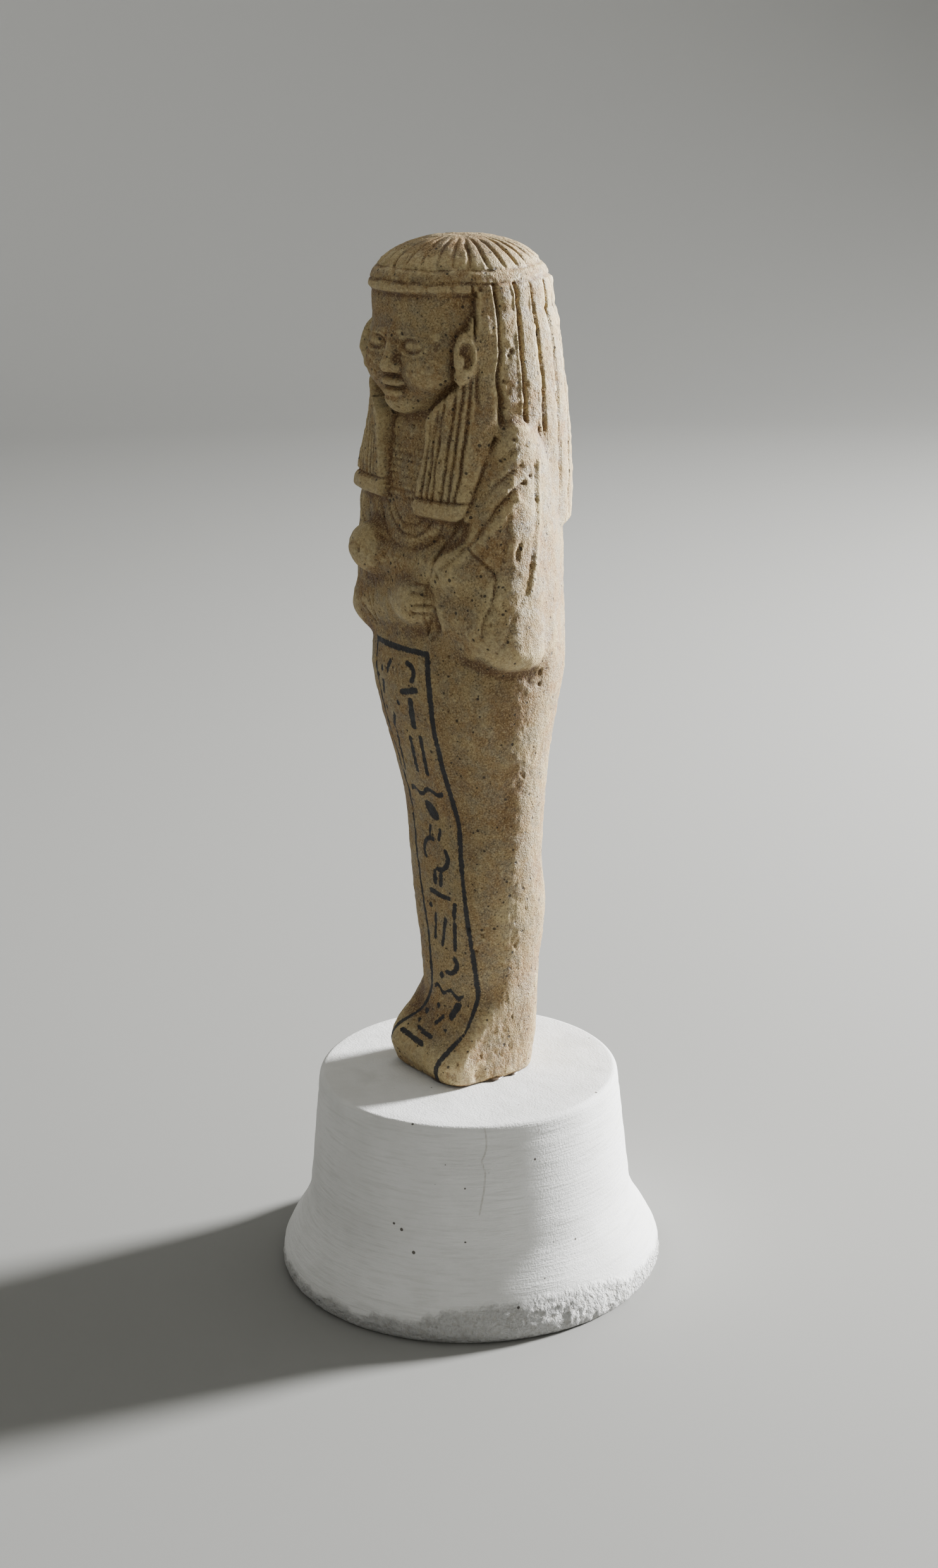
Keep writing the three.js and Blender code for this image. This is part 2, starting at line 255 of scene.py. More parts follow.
def makeCamera(s):
    turn = radians(s["azimuth"])
    onward = Vector((-sin(turn), cos(turn), 0))
    right = Vector((cos(turn), sin(turn), 0))
    upward = Vector((0, 0, 1))

    def turned(across, along, lift):
        return right * across + onward * along + upward * lift

    pitch, yaw, roll = radians(s["pitch"]), radians(s["yaw"]), radians(s["roll"])
    view = turned(sin(yaw) * cos(pitch), cos(yaw) * cos(pitch), -sin(pitch))
    level = turned(cos(yaw), -sin(yaw), 0)
    rise = level.cross(view)
    across = level * cos(roll) + rise * sin(roll)
    top = rise * cos(roll) - level * sin(roll)
    place = turned(0, -s["distance"], s["height"])
    bpy.ops.object.camera_add()
    camera = bpy.context.active_object
    camera.name = "camera"
    camera.data.lens = s["lens"]
    camera.data.sensor_width = s["sensor"]
    camera.data.clip_start = 0.01
    axes = Matrix((across, top, -view)).transposed().to_4x4()
    camera.matrix_world = Matrix.Translation(place) @ axes
    bpy.context.scene.camera = camera
    return right, onward


clearSelection()
cameraRight, cameraOnward = makeCamera(cameraSettings)
print("camera placed")


# Pale floor and backdrop in one sweep

stageSettings = {
    "radius": 900,  # mm
    "wallHeight": 300,
    "sweepRadius": 500,
    "sweepRings": 12,
    "segments": 96,
    "colour": "8C8C89",
}


def makeStage(s):
    # down the wall, round a quarter circle and across the floor to its middle
    profile = [(s["radius"] + s["sweepRadius"], s["sweepRadius"] + s["wallHeight"])]
    for i in range(s["sweepRings"] + 1):
        turn = i / s["sweepRings"] * pi / 2
        profile.append((s["radius"] + s["sweepRadius"] * cos(turn), s["sweepRadius"] * (1 - sin(turn))))
    profile += [(s["radius"] / 2, 0), (1, 0)]
    return turnedPiece("floor", profile, s["segments"], closeStart=False)


floor = makeStage(stageSettings)
bpy.ops.object.shade_smooth_by_angle(angle=radians(40))


# Soft studio light, strongest from the right. Places are in metres from the stand's axis, across and
# along the camera's view, and up from the floor.

lightSettings = {
    "key": {"across": 0.82, "along": 0.36, "height": 0.34, "size": 0.16, "watts": 56},
    "fill": {"across": -0.85, "along": 0.3, "height": 0.4, "size": 0.5, "watts": 0.3},
    "overhead": {"across": -0.1, "along": 1, "height": 1.1, "size": 1, "watts": 1.2},
    "aimHeight": 0.09,
    "sky": "C9CDD2",
    "skyStrength": 0.02,
}


def linear(hexColour):
    # sRGB hex to linear light
    channels = [int(hexColour[i:i + 2], 16) / 255 for i in (0, 2, 4)]
    return [c / 12.92 if c <= 0.04045 else ((c + 0.055) / 1.055) ** 2.4 for c in channels] + [1]


def addLight(name, s, aim):
    place = cameraRight * s["across"] + cameraOnward * s["along"] + Vector((0, 0, s["height"]))
    bpy.ops.object.light_add(type="AREA", location=place)
    light = bpy.context.active_object
    light.name = name
    light.data.shape = "DISK"
    light.data.size = s["size"]
    light.data.energy = s["watts"]
    light.rotation_euler = (aim - place).to_track_quat("-Z", "Y").to_euler()


for name in ("key", "fill", "overhead"):
    addLight(name + "Light", lightSettings[name], Vector((0, 0, lightSettings["aimHeight"])))
world = bpy.context.scene.world or bpy.data.worlds.new("studio")
bpy.context.scene.world = world
world.use_nodes = True
sky = world.node_tree.nodes["Background"]
sky.inputs["Color"].default_value = linear(lightSettings["sky"])
sky.inputs["Strength"].default_value = lightSettings["skyStrength"]
print("stage and lights ready")


# The figure. Lengths are squares of its grid: x to its left, y backwards, z up from the sole.

bodySettings = {
    # stations as (height, half width, front, back), as in every form that is lofted here
    "trunk": [
        (0, 8.4, -7.6, 8.5), (6, 9, -7.5, 10.2), (15, 9.7, -7.7, 10.9), (22, 10.7, -7.9, 11.6),
        (29, 11.8, -8.4, 11.8), (38, 12.8, -8.7, 10.5), (47, 13.8, -9, 10.8), (56, 15.2, -11.2, 11.5),
        (64, 16.7, -13.2, 12.6), (71, 17.6, -14, 14), (84, 16.4, -12.4, 14.4), (96, 16, -12, 14.2),
        (108, 14, -9.8, 13.2),
    ],
    "chest": [
        (72, 16.4, -13, 4), (84, 17.2, -12.3, 4), (94, 17.4, -12, 4), (102, 16.6, -11.3, 4),
        (108, 14.8, -10, 4),
    ],
    "throat": 111,
    "collarReach": 16.6,
    "beadRow": 1.15,  # height of a row of beads in the collar
    "bead": 1.1,  # width of a bead
    "arcCentre": (2.6, 99.6),
    "arcRadii": (4.6, 6.2, 8.4),
    "tick": 8,  # degrees between the ticks across the arcs
    "plateHeight": 0.75,
    "rowDepth": 0.32,
    "beadDepth": 0.22,
    "arcDepth": 0.26,
}


def collarRelief(x, y, z, s):
    # rows of beads between the lappets, and curved rows below them
    front = step(-6, -10, y)
    reach = np.hypot(x - 0.5, (z - s["throat"]) * 0.86)
    plate = s["plateHeight"] * step(s["collarReach"] + 0.7, s["collarReach"] - 0.7, reach) * front
    row = (z + 0.25 * lumps(x, y, z, 2.2, 21)) / s["beadRow"]
    rowGroove = dip((row - np.round(row)) * s["beadRow"], 0.2)
    bead = x / s["bead"] + 0.5 * (np.round(row - 0.5) % 2) + 0.25 * lumps(x, y, z, 1.8, 22)
    beadGroove = dip((bead - np.round(bead)) * s["bead"], 0.17)
    between = step(5.2, 3.8, np.abs(x - 0.6)) * step(97.6, 98.6, z) * step(109, 106, z) * front
    worn = 0.55 + 0.45 * lumps(x, y, z, 1.6, 24)
    relief = plate - between * worn * (s["rowDepth"] * rowGroove + s["beadDepth"] * beadGroove)
    centreX, centreZ = s["arcCentre"]
    arc = np.hypot(x - centreX, z - centreZ + 0.2 * waver(x, 1.5, 23))
    below = step(98.6, 97.4, z) * front
    for radius in s["arcRadii"]:
        relief = relief - below * (s["arcDepth"] + 0.1 * worn) * dip(arc - radius, 0.22)
    tick = np.degrees(np.arctan2(x - centreX, centreZ - z)) / s["tick"]
    inner, outer = s["arcRadii"][0], s["arcRadii"][-1]
    ring = step(inner, inner + 0.4, arc) * step(outer, outer - 0.4, arc)
    return relief - below * ring * 0.1 * worn * dip((tick - np.round(tick)) * 0.9, 0.2)


def bodyForm(x, y, z, s):
    form = loft(x, y, z, s["trunk"], 2.1)
    chest = cut(loft(x, y, z, s["chest"], 2.6), 74 - z, 4)
    form = cut(join(form, chest, 1), z - s["throat"], 3)
    return form - collarRelief(x, y, z, s)


# Wide sleeves. Each fold is a path of (degrees from the nose, height), with its depth and width.

sleeveSettings = {
    "stations": [
        (68, 19.6, -12.6, 5), (76, 21, -13.6, 5.8), (84, 20.9, -13.9, 6), (92, 20.4, -13.2, 6.2),
        (100, 19.2, -12, 6.2), (105, 18.4, -10, 6), (108.5, 17.9, -8.2, 4.6), (111.5, 16.8, -5.6, 2.6),
        (114, 14.6, -3, 0.4),
    ],
    "top": 113.4,
    "hemLowest": (-1.5, 71.3),
    "hemCurve": 0.048,
    "openingHalf": 9.4,
    "rightFlatter": 0.9,
    "perDegree": 0.34,  # squares to a degree on the arm
    "folds": [
        ([(83, 102.6), (76, 101.6), (69, 99.4), (63, 96.5), (55, 93.4), (47, 91), (40, 89.4)], 0.34, 0.26),
        ([(82, 105.2), (77, 104.6), (70, 103), (65.5, 101.5)], 0.2, 0.26),
        ([(90, 104.9), (88.6, 98.3), (83, 90.6), (79.2, 85.8), (73.6, 82.2), (66.5, 76.8)], 0.11, 0.24),
        ([(55, 93), (60, 91.2), (65, 89.7), (66, 88.6), (64, 84), (61.5, 82), (59.6, 78.8)], 0.3, 0.24),
        ([(73.7, 98), (71.5, 94.5), (69.5, 91.2)], 0.16, 0.28),
        ([(78, 93.4), (76.4, 92.2), (76, 91.2)], 0.24, 0.24),
        ([(71.5, 109.4), (64.8, 105.8), (61.6, 103.3), (54.4, 98.2), (45.2, 93.8), (36.4, 90.7)], 0.5, 0.34),
        ([(36.4, 90.7), (34.3, 88.6), (30, 86), (28.6, 83.6), (28.2, 79)], 0.3, 0.4),
        ([(32.5, 80.9), (30, 79.6), (27.4, 78.2)], 0.3, 0.26),
        ([(38.5, 80.1), (35, 78.6), (31.5, 77.4)], 0.3, 0.26),
        ([(86, 108.2), (78, 107.6), (72, 106.2)], 0.16, 0.3),
    ],
    "ridges": [
        ([(93, 105.4), (91.4, 98.3), (86, 90.6), (82, 85.8)], 0.15, 0.4),
        ([(78, 100.2), (66, 96.4), (58, 93), (50, 90.6)], 0.16, 0.8),
    ],
}


def sleeveForm(x, y, z, s):
    across = np.abs(x)
    form = loft(x, y, z, s["stations"], 2.5)
    # the hem at the bottom, and the edge in front where the forearms come out
    lowestAt, lowest = s["hemLowest"]
    hem = lowest + s["hemCurve"] * (y - lowestAt) ** 2 + 0.35 * waver(y, 3.1, 31) * step(-3, -8, y)
    opening = s["openingHalf"] + 5.4 * step(88, 96, z) + 0.15 * np.maximum(z - 96, 0)
    opening = opening - 12 * step(-10.5, -6, y)
    form = form + np.where(x < 0, s["rightFlatter"], 0) * step(-6, -12, y) * step(77, 84, z)
    form = cut(form, hem - z, 5)
    form = cut(form, opening - across, 1.8)
    return cut(form, z - s["top"], 3)


def foldRelief(x, y, z, s):
    # grooves are positive and ridges negative; both sleeves have the same folds
    around = np.abs(np.degrees(np.arctan2(x, -y))) * s["perDegree"]
    u = around + 0.14 * waver(z, 1.7, 32) + 0.06 * waver(z, 0.6, 34)
    v = z + 0.14 * waver(x + y, 1.9, 33)
    worn = 0.75 + 0.4 * lumps(x, y, z, 1.7, 35)
    relief = 0
    for paths, sign in ((s["folds"], 1), (s["ridges"], -1)):
        for path, depth, width in paths:
            scaled = [(degrees * s["perDegree"], height) for degrees, height in path]
            relief = relief + sign * depth * worn * dip(pathDistance(u, v, scaled), width)
    return relief


# Crossed forearms with closed fists, the left above the right

armSettings = {
    "leftForearm": ((12, -10.4, 88.6), (-4, -11.8, 89), 3.1, 2.8),
    "rightForearm": ((-13, -8.8, 79.6), (1, -11.2, 82.4), 3.5, 3.3),
    "leftFist": ((-7.2, -13.1, 90.1), (4.2, 3.8, 4.1)),
    "rightFist": ((4, -12.4, 83.1), (4.4, 3.6, 4)),
    "belly": ((-1, -9.4, 85.4), (10, 4, 7)),
    "fingerHeights": (86.3, 84.9, 83.3, 81.8),
    "fingerEnds": (6, 8.4),
    "thumb": [(-9.6, 90.6), (-7.4, 91.2), (-4.6, 90.4)],
}


def armForm(x, y, z, s):
    forearms = join(rod(x, y, z, *s["leftForearm"]), rod(x, y, z, *s["rightForearm"]), 2.5)
    forearms = join(forearms, egg(x, y, z, *s["belly"]), 3)
    fists = join(egg(x, y, z, *s["leftFist"]), egg(x, y, z, *s["rightFist"]), 0.8)
    # gaps between the fingers show at the side of the right fist
    inner, outer = s["fingerEnds"]
    for height in s["fingerHeights"]:
        gap = pathDistance(x + 0.2 * waver(z, 0.8, 41), z, [(inner, height), (outer, height - 0.15)])
        fists = fists + 0.4 * dip(gap, 0.24) * step(-9, -11, y)
    # a shallow line parts the left thumb from the fingers
    fists = fists + 0.15 * dip(pathDistance(x, z, s["thumb"]), 0.3) * step(-12, -14, y)
    return join(forearms, fists, 1.8)


# A calm, even face: the hairline, brow, nose and chin stand a third of the face apart

hairline = 131
chinHeight = 112.4
faceThird = (hairline - chinHeight) / 3
noseBase = chinHeight + faceThird
browHeight = noseBase + faceThird
mouthHeight = noseBase - faceThird / 3
eyeHeight = browHeight - 1.8
earHeight = (browHeight + noseBase) / 2
eyeSpacing = 4.6

faceSettings = {
    "head": [
        (chinHeight, 7.4, -12.4, 6), (mouthHeight, 10.2, -13.1, 6), (noseBase, 11.6, -13.3, 7),
        (browHeight, 12.4, -13.4, 7), (hairline + 1, 12.2, -13.7, 7),
    ],
    "eyeSize": (3.1, 1.4),
    "lid": 0.3,
    "lipLine": [(0, mouthHeight - 0.1), (1.6, mouthHeight), (2.9, mouthHeight + 0.25)],
    # rods as (start, end, radius at the start, radius at the end)
    "brow": ((1.9, -13.2, browHeight), (8.6, -11.2, browHeight - 0.2), 0.55, 0.45),
    "noseBridge": ((0, -12.9, browHeight), (0, -14.3, noseBase + 1.3), 0.85, 1.15),
    # egg shapes as (centre, radii)
    "chin": ((0, -11.6, chinHeight + 2), (2.9, 2.4, 1.9)),
    "cheek": ((5.8, -10.3, noseBase + 0.9), (3.6, 3.4, 3.4)),
    "socket": ((eyeSpacing, -14.9, eyeHeight), (3.7, 2, 1.8)),
    "eyeball": ((eyeSpacing, -11.3, eyeHeight), (3.1, 2.2, 1.5)),
    "noseTip": ((0, -14.4, noseBase + 1.2), (1.3, 1.1, 1.05)),
    "noseWing": ((1.5, -13.5, noseBase + 0.95), (0.9, 1.2, 0.85)),
    "upperLip": ((0, -13.45, mouthHeight + 0.7), (2.9, 1.15, 0.75)),
    "lowerLip": ((0, -13.25, mouthHeight - 0.85), (2.4, 1.25, 0.85)),
    "neck": ((0, -2.4, 109), (11, 8.2, 11)),
    "ear": ((12.5, -8.4, earHeight), (1.7, 2.3, 3.7)),
    "earHollow": ((13.7, -9.3, earHeight + 0.5), (1.3, 1.25, 2.3)),
    "earFront": ((12.7, -9.9, earHeight - 0.5), (0.8, 0.8, 1)),
    "earLobe": ((12.2, -9.2, earHeight - 3), (1.1, 1.3, 1.2)),
}


def faceForm(x, y, z, s):
    ax = np.abs(x)
    form = loft(x, y, z, s["head"], 2.3)
    form = cut(form, np.maximum(chinHeight - z, z - hairline - 1.5), 3)
    form = join(form, egg(ax, y, z, *s["chin"]), 2)
    form = join(form, egg(ax, y, z, *s["cheek"]), 2.5)
    form = join(form, rod(ax, y, z, *s["brow"]), 1)
    form = cut(form, -egg(ax, y, z, *s["socket"]), 1.2)
    form = join(form, egg(ax, y, z, *s["eyeball"]), 0.25)
    # the lids stand up as a rim around the eye
    width, height = s["eyeSize"]
    rim = np.hypot((ax - eyeSpacing) / width, (z - eyeHeight) / height) - 1
    form = form - s["lid"] * dip(rim * height, 0.3) * step(-9, -10.5, y)
    form = join(form, rod(ax, y, z, *s["noseBridge"]), 1.1)
    for name, seam in (("noseTip", 0.5), ("noseWing", 0.5), ("upperLip", 0.35), ("lowerLip", 0.35)):
        form = join(form, egg(ax, y, z, *s[name]), seam)
    form = form + 0.2 * dip(pathDistance(ax, z, s["lipLine"]), 0.26) * step(-11, -12.5, y)
    form = join(form, egg(ax, y, z, *s["neck"]), 1.5)
    ear = cut(egg(ax, y, z, *s["ear"]), -egg(ax, y, z, *s["earHollow"]), 0.4)
    ear = join(ear, egg(ax, y, z, *s["earFront"]), 0.4)
    ear = join(ear, egg(ax, y, z, *s["earLobe"]), 0.5)
    return join(form, ear, 0.5)


# Hair: a fillet, strands over the crown and down the sides and back, and finer ones in the lappets

hairSettings = {
    "stations": [
        (90, 15, -13, 16.8), (98, 15.6, -13, 17.1), (106, 16, -13, 16.7), (114, 16, -14, 15.9),
        (120, 15.7, -14.8, 15.3), (126, 15.2, -15.2, 14.7), (131, 14.7, -15.5, 14.1),
    ],
    "lappets": [
        (96, 18.4, -13.7, 6), (100, 18.2, -13.6, 6), (104, 17.2, -13.2, 6), (109, 15.8, -12.6, 6),
        (114, 14.6, -11.8, 6), (119, 13.2, -10.6, 6),
    ],
    "lappetEnd": 96.9,  # on the figure's left
    "lappetEndRight": 98.6,
    "top": 138.8,
    "crownSpring": 128,
    "crownForward": 0.4,
    "crownRadii": (14.7, 14.9),
    "crownSquareness": 2.5,
    "fillet": (132.6, 134.5),
    "endBehind": 92.5,
    "endAtShoulder": 110.2,
    "strand": 14,  # degrees around the head
    "firstStrand": 61,
    "deepStrand": 75,
    "crownStrand": 12,
    "strandDepth": 0.84,
    "strandWidth": 0.25,
    "burr": 0.12,
    "crownDepth": 0.42,
    "filletDepth": 0.34,
    "lappetDepth": 0.42,
    "bandMiddle": 1.3,  # up from the lappet's end
    "bandDepth": 0.3,
    # grooves of the lappets, as (degrees at the lappet's end, degrees at the jaw)
    "lappetGrooves": [(26.2, 33), (30, 36.8), (33.8, 40.5), (39.6, 47), (43.6, 51.6), (47.4, 56)],
}


def sideways(turn, line, radius):
    # squares from a groove that runs down the head at an angle
    return np.radians(turn - line) * radius


def crownForm(x, y, z, s):
    # a dome over sides that widen downwards
    widen = 1 + 0.03 * np.maximum(s["crownSpring"] - z, 0)
    across, along = s["crownRadii"]
    around = np.hypot(x / across, (y + s["crownForward"]) / along) / widen
    rise = np.maximum(z - s["crownSpring"], 0) / (s["top"] - s["crownSpring"])
    power = s["crownSquareness"]
    return ((around ** power + rise ** power) ** (1 / power) - 1) * 12


def sideStrands(turn, radius, z, shift, s):
    # grooves down the sides and back, and a thin burr beside each where the wet body was pushed aside
    index = np.round((turn - s["firstStrand"]) / s["strand"])
    line = s["firstStrand"] + s["strand"] * index
    along = z + 53 * index + shift
    offset = sideways(turn, line, radius) + 0.3 * waver(along, 4.4, 51) + 0.12 * waver(along, 1.3, 52)
    deepest = np.where(np.abs(line - s["deepStrand"]) < 1, step(121, 114, z), 0)
    strength = 0.75 + 0.35 * waver(along, 3.5, 53) + 0.5 * deepest
    width = s["strandWidth"] + 0.08 * waver(along, 2.3, 54) + 0.2 * deepest
    crossing = 0.5 - np.abs(sideways(turn, line, radius)) / (np.radians(s["strand"]) * radius)
    rounded = 0.5 * np.clip(crossing, 0, 0.5) ** 2
    burr = s["burr"] * dip(offset + 0.5, 0.2) * (1 + waver(along, 2, 63))
    low = s["fillet"][0]
    side = step(low, low - 0.5, z) * np.where(turn > 54, 1, step(hairline - 3, hairline, z) * 0.15)
    return side * (s["strandDepth"] * strength * dip(offset, width) + rounded - burr)


def crownStrands(angle, radius, z, s):
    # grooves that fan out from the crown
    index = np.round(angle / s["crownStrand"])
    along = radius + 29 * index
    offset = sideways(angle, s["crownStrand"] * index, radius) + 0.22 * waver(along, 2.6, 55)
    high = s["fillet"][1]
    fan = step(high + 0.1, high + 0.5, z) * step(4, 8.5, radius) * (0.8 + 0.4 * waver(along, 3, 56))
    return fan * s["crownDepth"] * dip(offset, 0.25)


def filletGrooves(angle, radius, z, s):
    # the fillet lies between two grooves
    level = z + 0.2 * waver(angle, 17, 57) + 0.1 * waver(angle, 5, 58)
    worn = 0.75 + 0.35 * waver(angle, 6, 64)
    grooves = sum(dip(level - height, 0.22) for height in s["fillet"])
    return s["filletDepth"] * worn * grooves * step(1.5, 4, radius)


def strandTips(turn, y, shift, s):
    # the sides end on the shoulders in uneven tips, and the back falls lower
    index = np.floor((turn - s["firstStrand"]) / s["strand"])
    tips = s["endAtShoulder"] + 0.8 * waver(71 * index + shift, 1, 59) + 0.25 * waver(turn, 2, 60)
    behind = step(99, 111, turn)
    tips = tips * (1 - behind) + (s["endBehind"] + 0.12 * y) * behind
    return np.where(turn < 66, 104, tips)


def lappetForm(x, y, z, turn, radius, shift, s):
    # the two lappets, which end in a raised band, and their grooves on the hair above them
    end = np.where(x > 0, s["lappetEnd"], s["lappetEndRight"])
    overBand = z - end - s["bandMiddle"]
    band = step(1.5, 1, np.abs(overBand))
    rise = np.clip((z - 98) / 14, 0, 1.3)
    grooves = 0
    for number, (atEnd, atJaw) in enumerate(s["lappetGrooves"]):
        line = atEnd + (atJaw - atEnd) * rise
        along = z + 31 * number + shift
        offset = sideways(turn, line, radius) + 0.16 * waver(along, 3.4, 61) + 0.06 * waver(along, 0.9, 65)
        grooves = grooves + (s["lappetDepth"] + 0.12 * waver(along, 2.1, 62)) * dip(offset, 0.25)
    form = loft(x, y, z, s["lappets"], 2.8) + grooves * (1 - band)
    form = form - s["bandDepth"] * band * (1 - 0.5 * (overBand / 1.4) ** 2)
    form = form + s["bandDepth"] * dip(overBand - 1.6, 0.24)
    outerEdge = 15.3 + 0.05 * (z - end)
    form = cut(form, np.maximum(np.abs(x) - outerEdge, y + 4), 1.6)
    return cut(form, np.maximum(end - z, z - 119), 1), grooves * step(111, 114, z) * step(121, 118, z)


def hairForm(x, y, z, s):
    angle = np.degrees(np.arctan2(x, -y))
    turn = np.abs(angle)
    radius = np.hypot(x, y)
    shift = np.where(x > 0, 0, 300)  # so that the two sides waver differently
    form = cut(loft(x, y, z, s["stations"], 2.1), crownForm(x, y, z, s), 0.5)
    form = form + sideStrands(turn, radius, z, shift, s) + crownStrands(angle, radius, z, s)
    form = form + filletGrooves(angle, radius, z, s)
    form = cut(form, strandTips(turn, y, shift, s) - z, 0.8)
    lappets, grooves = lappetForm(x, y, z, turn, radius, shift, s)
    form = join(form + grooves, lappets, 1)
    # opening for the face
    lowered = step(119.5, 111, z)
    half = 12.3 - 6.6 * lowered - 1.8 * step(110, 98, z)
    opening = np.maximum(np.maximum(np.abs(x - 0.5 * lowered) - half, y + 3), z - hairline)
    return cut(form, -opening, 1.2)


# The foot is a block with a sloping instep. Its toe edge is worn down on the figure's left.

footSettings = {
    "toeFront": -12.6,
    "toeHeight": 6.9,
    "toeWear": 0.22,
    "instepSlope": 0.68,
    "halfWidth": 9.4,
}


def footForm(x, y, z, s):
    ahead = np.clip(1 - (y - s["toeFront"]) / 8, 0, 1)
    wear = s["toeWear"] * (x + s["halfWidth"]) * ahead
    top = s["toeHeight"] + s["instepSlope"] * (y - s["toeFront"]) - wear
    shape = (z - top) / np.hypot(1, s["instepSlope"])
    front = s["toeFront"] - y + 0.42 * np.maximum(4 - z, 0)
    form = cut(np.abs(x) - s["halfWidth"], front, 4.4)
    form = cut(form, shape, 3)
    return cut(form, np.maximum(y - 6, z - 15), 4)


def figureField(x, y, z):
    form = join(bodyForm(x, y, z, bodySettings), footForm(x, y, z, footSettings), 3.5)
    form = join(form, sleeveForm(x, y, z, sleeveSettings), 0.8 + 4 * step(-2, 5, y))
    form = join(form, armForm(x, y, z, armSettings), 2.2)
    form = join(form, faceForm(x, y, z, faceSettings), 0.8)
    form = join(form, hairForm(x, y, z, hairSettings), 0.6)
    form = form + foldRelief(x, y, z, sleeveSettings)
    return cut(form, -z, 0.9)


# A sphere's points are moved along rays from the spine to where they meet the carved form. A zone is
# (start, end, how many). Columns are in degrees, and are closest where the photograph looks.

meshSettings = {
    "columnZones": [(-40, 100, 162), (100, 150, 36), (150, 260, 46), (260, 320, 44)],
    "heightZones": [
        (0.25, 1.2, 2), (1.2, 13, 22), (13, 70, 112), (70, 90, 44), (90, 112, 63), (112, hairline, 63),
    ],
    "crownZones": [(0, 16, 16), (16, 84, 20)],  # degrees up over the crown
    "searchFrom": 24,
    "searchStep": 0.8,
    "coarseStride": 4,
    "halvings": 6,
    "hollowSizes": (1, 3),  # rings and columns to each side
    "deepHollow": 0.4,
}


def spread(zones, last=False):
    values = []
    for start, end, count in zones:
        values += [start + (end - start) * i / count for i in range(count)]
    return values + [zones[-1][1]] if last else values


def raysOf(s):
    # a start point and a direction for each ring and column
    columns = np.radians(spread(s["columnZones"]))
    heights = [(height, 0) for height in spread(s["heightZones"])]
    heights += [(hairline, radians(tilt)) for tilt in spread(s["crownZones"], last=True)]
    height = np.array([h for h, tilt in heights])[:, None] + 0 * columns[None]
    tilt = np.array([tilt for h, tilt in heights])[:, None] + 0 * columns[None]
    turn = columns[None] + 0 * height
    flat = np.cos(tilt)
    return height, np.sin(turn) * flat, -np.cos(turn) * flat, np.sin(tilt)


def startOf(coarse, shape, s):
    # from how far out each ray looks: a little more than the coarse rays around it reach
    below = np.concatenate([coarse[1:], coarse[-1:]])
    widest = np.maximum(coarse, below)
    widest = np.maximum(widest, np.roll(widest, -1, 1))
    rows = np.arange(shape[0]) // s["coarseStride"]
    columns = np.arange(shape[1]) // s["coarseStride"]
    return widest[rows][:, columns] + s["searchStep"]


def reachOf(height, dx, dy, dz, s, start=None):
    # how far each ray goes before it meets the form, coming from outside
    if start is None:
        stride = s["coarseStride"]
        everyFew = [v[::stride, ::stride] for v in (height, dx, dy, dz)]
        coarse = reachOf(*everyFew, s, np.full(everyFew[0].shape, float(s["searchFrom"])))
        start = startOf(coarse.reshape(everyFew[0].shape), height.shape, s)
    height, dx, dy, dz, outside = (v.ravel() for v in (height, dx, dy, dz, start))

    def value(r, keep):
        return figureField(r * dx[keep], r * dy[keep], height[keep] + r * dz[keep])

    seeking = np.arange(len(height))
    outside = np.where(value(outside, seeking) > 0, outside, s["searchFrom"])
    while len(seeking):
        nearer = outside[seeking] - s["searchStep"]
        clear = value(nearer, seeking) > 0
        outside[seeking[clear]] = nearer[clear]
        seeking = seeking[clear & (nearer > s["searchStep"])]
    everyRay = np.arange(len(height))
    inside = outside - s["searchStep"]
    for _ in range(s["halvings"]):
        middle = (inside + outside) / 2
        clear = value(middle, everyRay) > 0
        outside = np.where(clear, middle, outside)
        inside = np.where(clear, inside, middle)
    # the last gap is so short that the field runs straight across it
    low, high = value(inside, everyRay), value(outside, everyRay)
    return inside + (outside - inside) * np.clip(-low / np.maximum(high - low, 1e-9), 0, 1)


wearSettings = {
    "lumps": [(9, 0.14, 71), (3.2, 0.08, 72), (1.1, 0.07, 73), (0.55, 0.07, 76)],  # size, height, seed
    "pitSpacing": 2.6,
    "pitSizes": (0.1, 0.5),
    "pitDepth": 0.4,
    "paintDepth": 0.07,
    # chips as (x, y, z, radius, depth)
    "chips": [
        (5.4, -15.4, 82, 1.2, 0.3), (-9.4, -12.2, 6.4, 1.4, 0.4), (8.6, -11.4, 2.4, 1.6, 0.3),
        (3, -13.4, 4.6, 1.5, 0.3), (14.8, -4.6, 108.6, 1.1, 0.4), (9.4, -6, 1.6, 1.3, 0.3),
        (-2, -14.7, 134.4, 0.9, 0.3), (-8, -12.4, 133.4, 0.8, 0.35),
    ],
}


def wearDepth(x, y, z, s):
    depth = 0
    for size, height, seed in s["lumps"]:
        depth = depth + height * lumps(x, y, z, size, seed)
    depth = depth + s["pitDepth"] * pits(x, y, z, s["pitSpacing"], 74, s["pitSizes"]) * step(1, 3, z)
    for cx, cy, cz, radius, chipDepth in s["chips"]:
        away = np.sqrt((x - cx) ** 2 + (y - cy) ** 2 + (z - cz) ** 2) / radius
        depth = depth + chipDepth * step(1.15, 0.6, away + 0.2 * lumps(x, y, z, 0.9, 75))
    return depth


# Painted panel down the front: a border line and rows of plain strokes, as distances in squares.
# A mark is (kind, across, height, length, tilt in degrees, half its line's width).

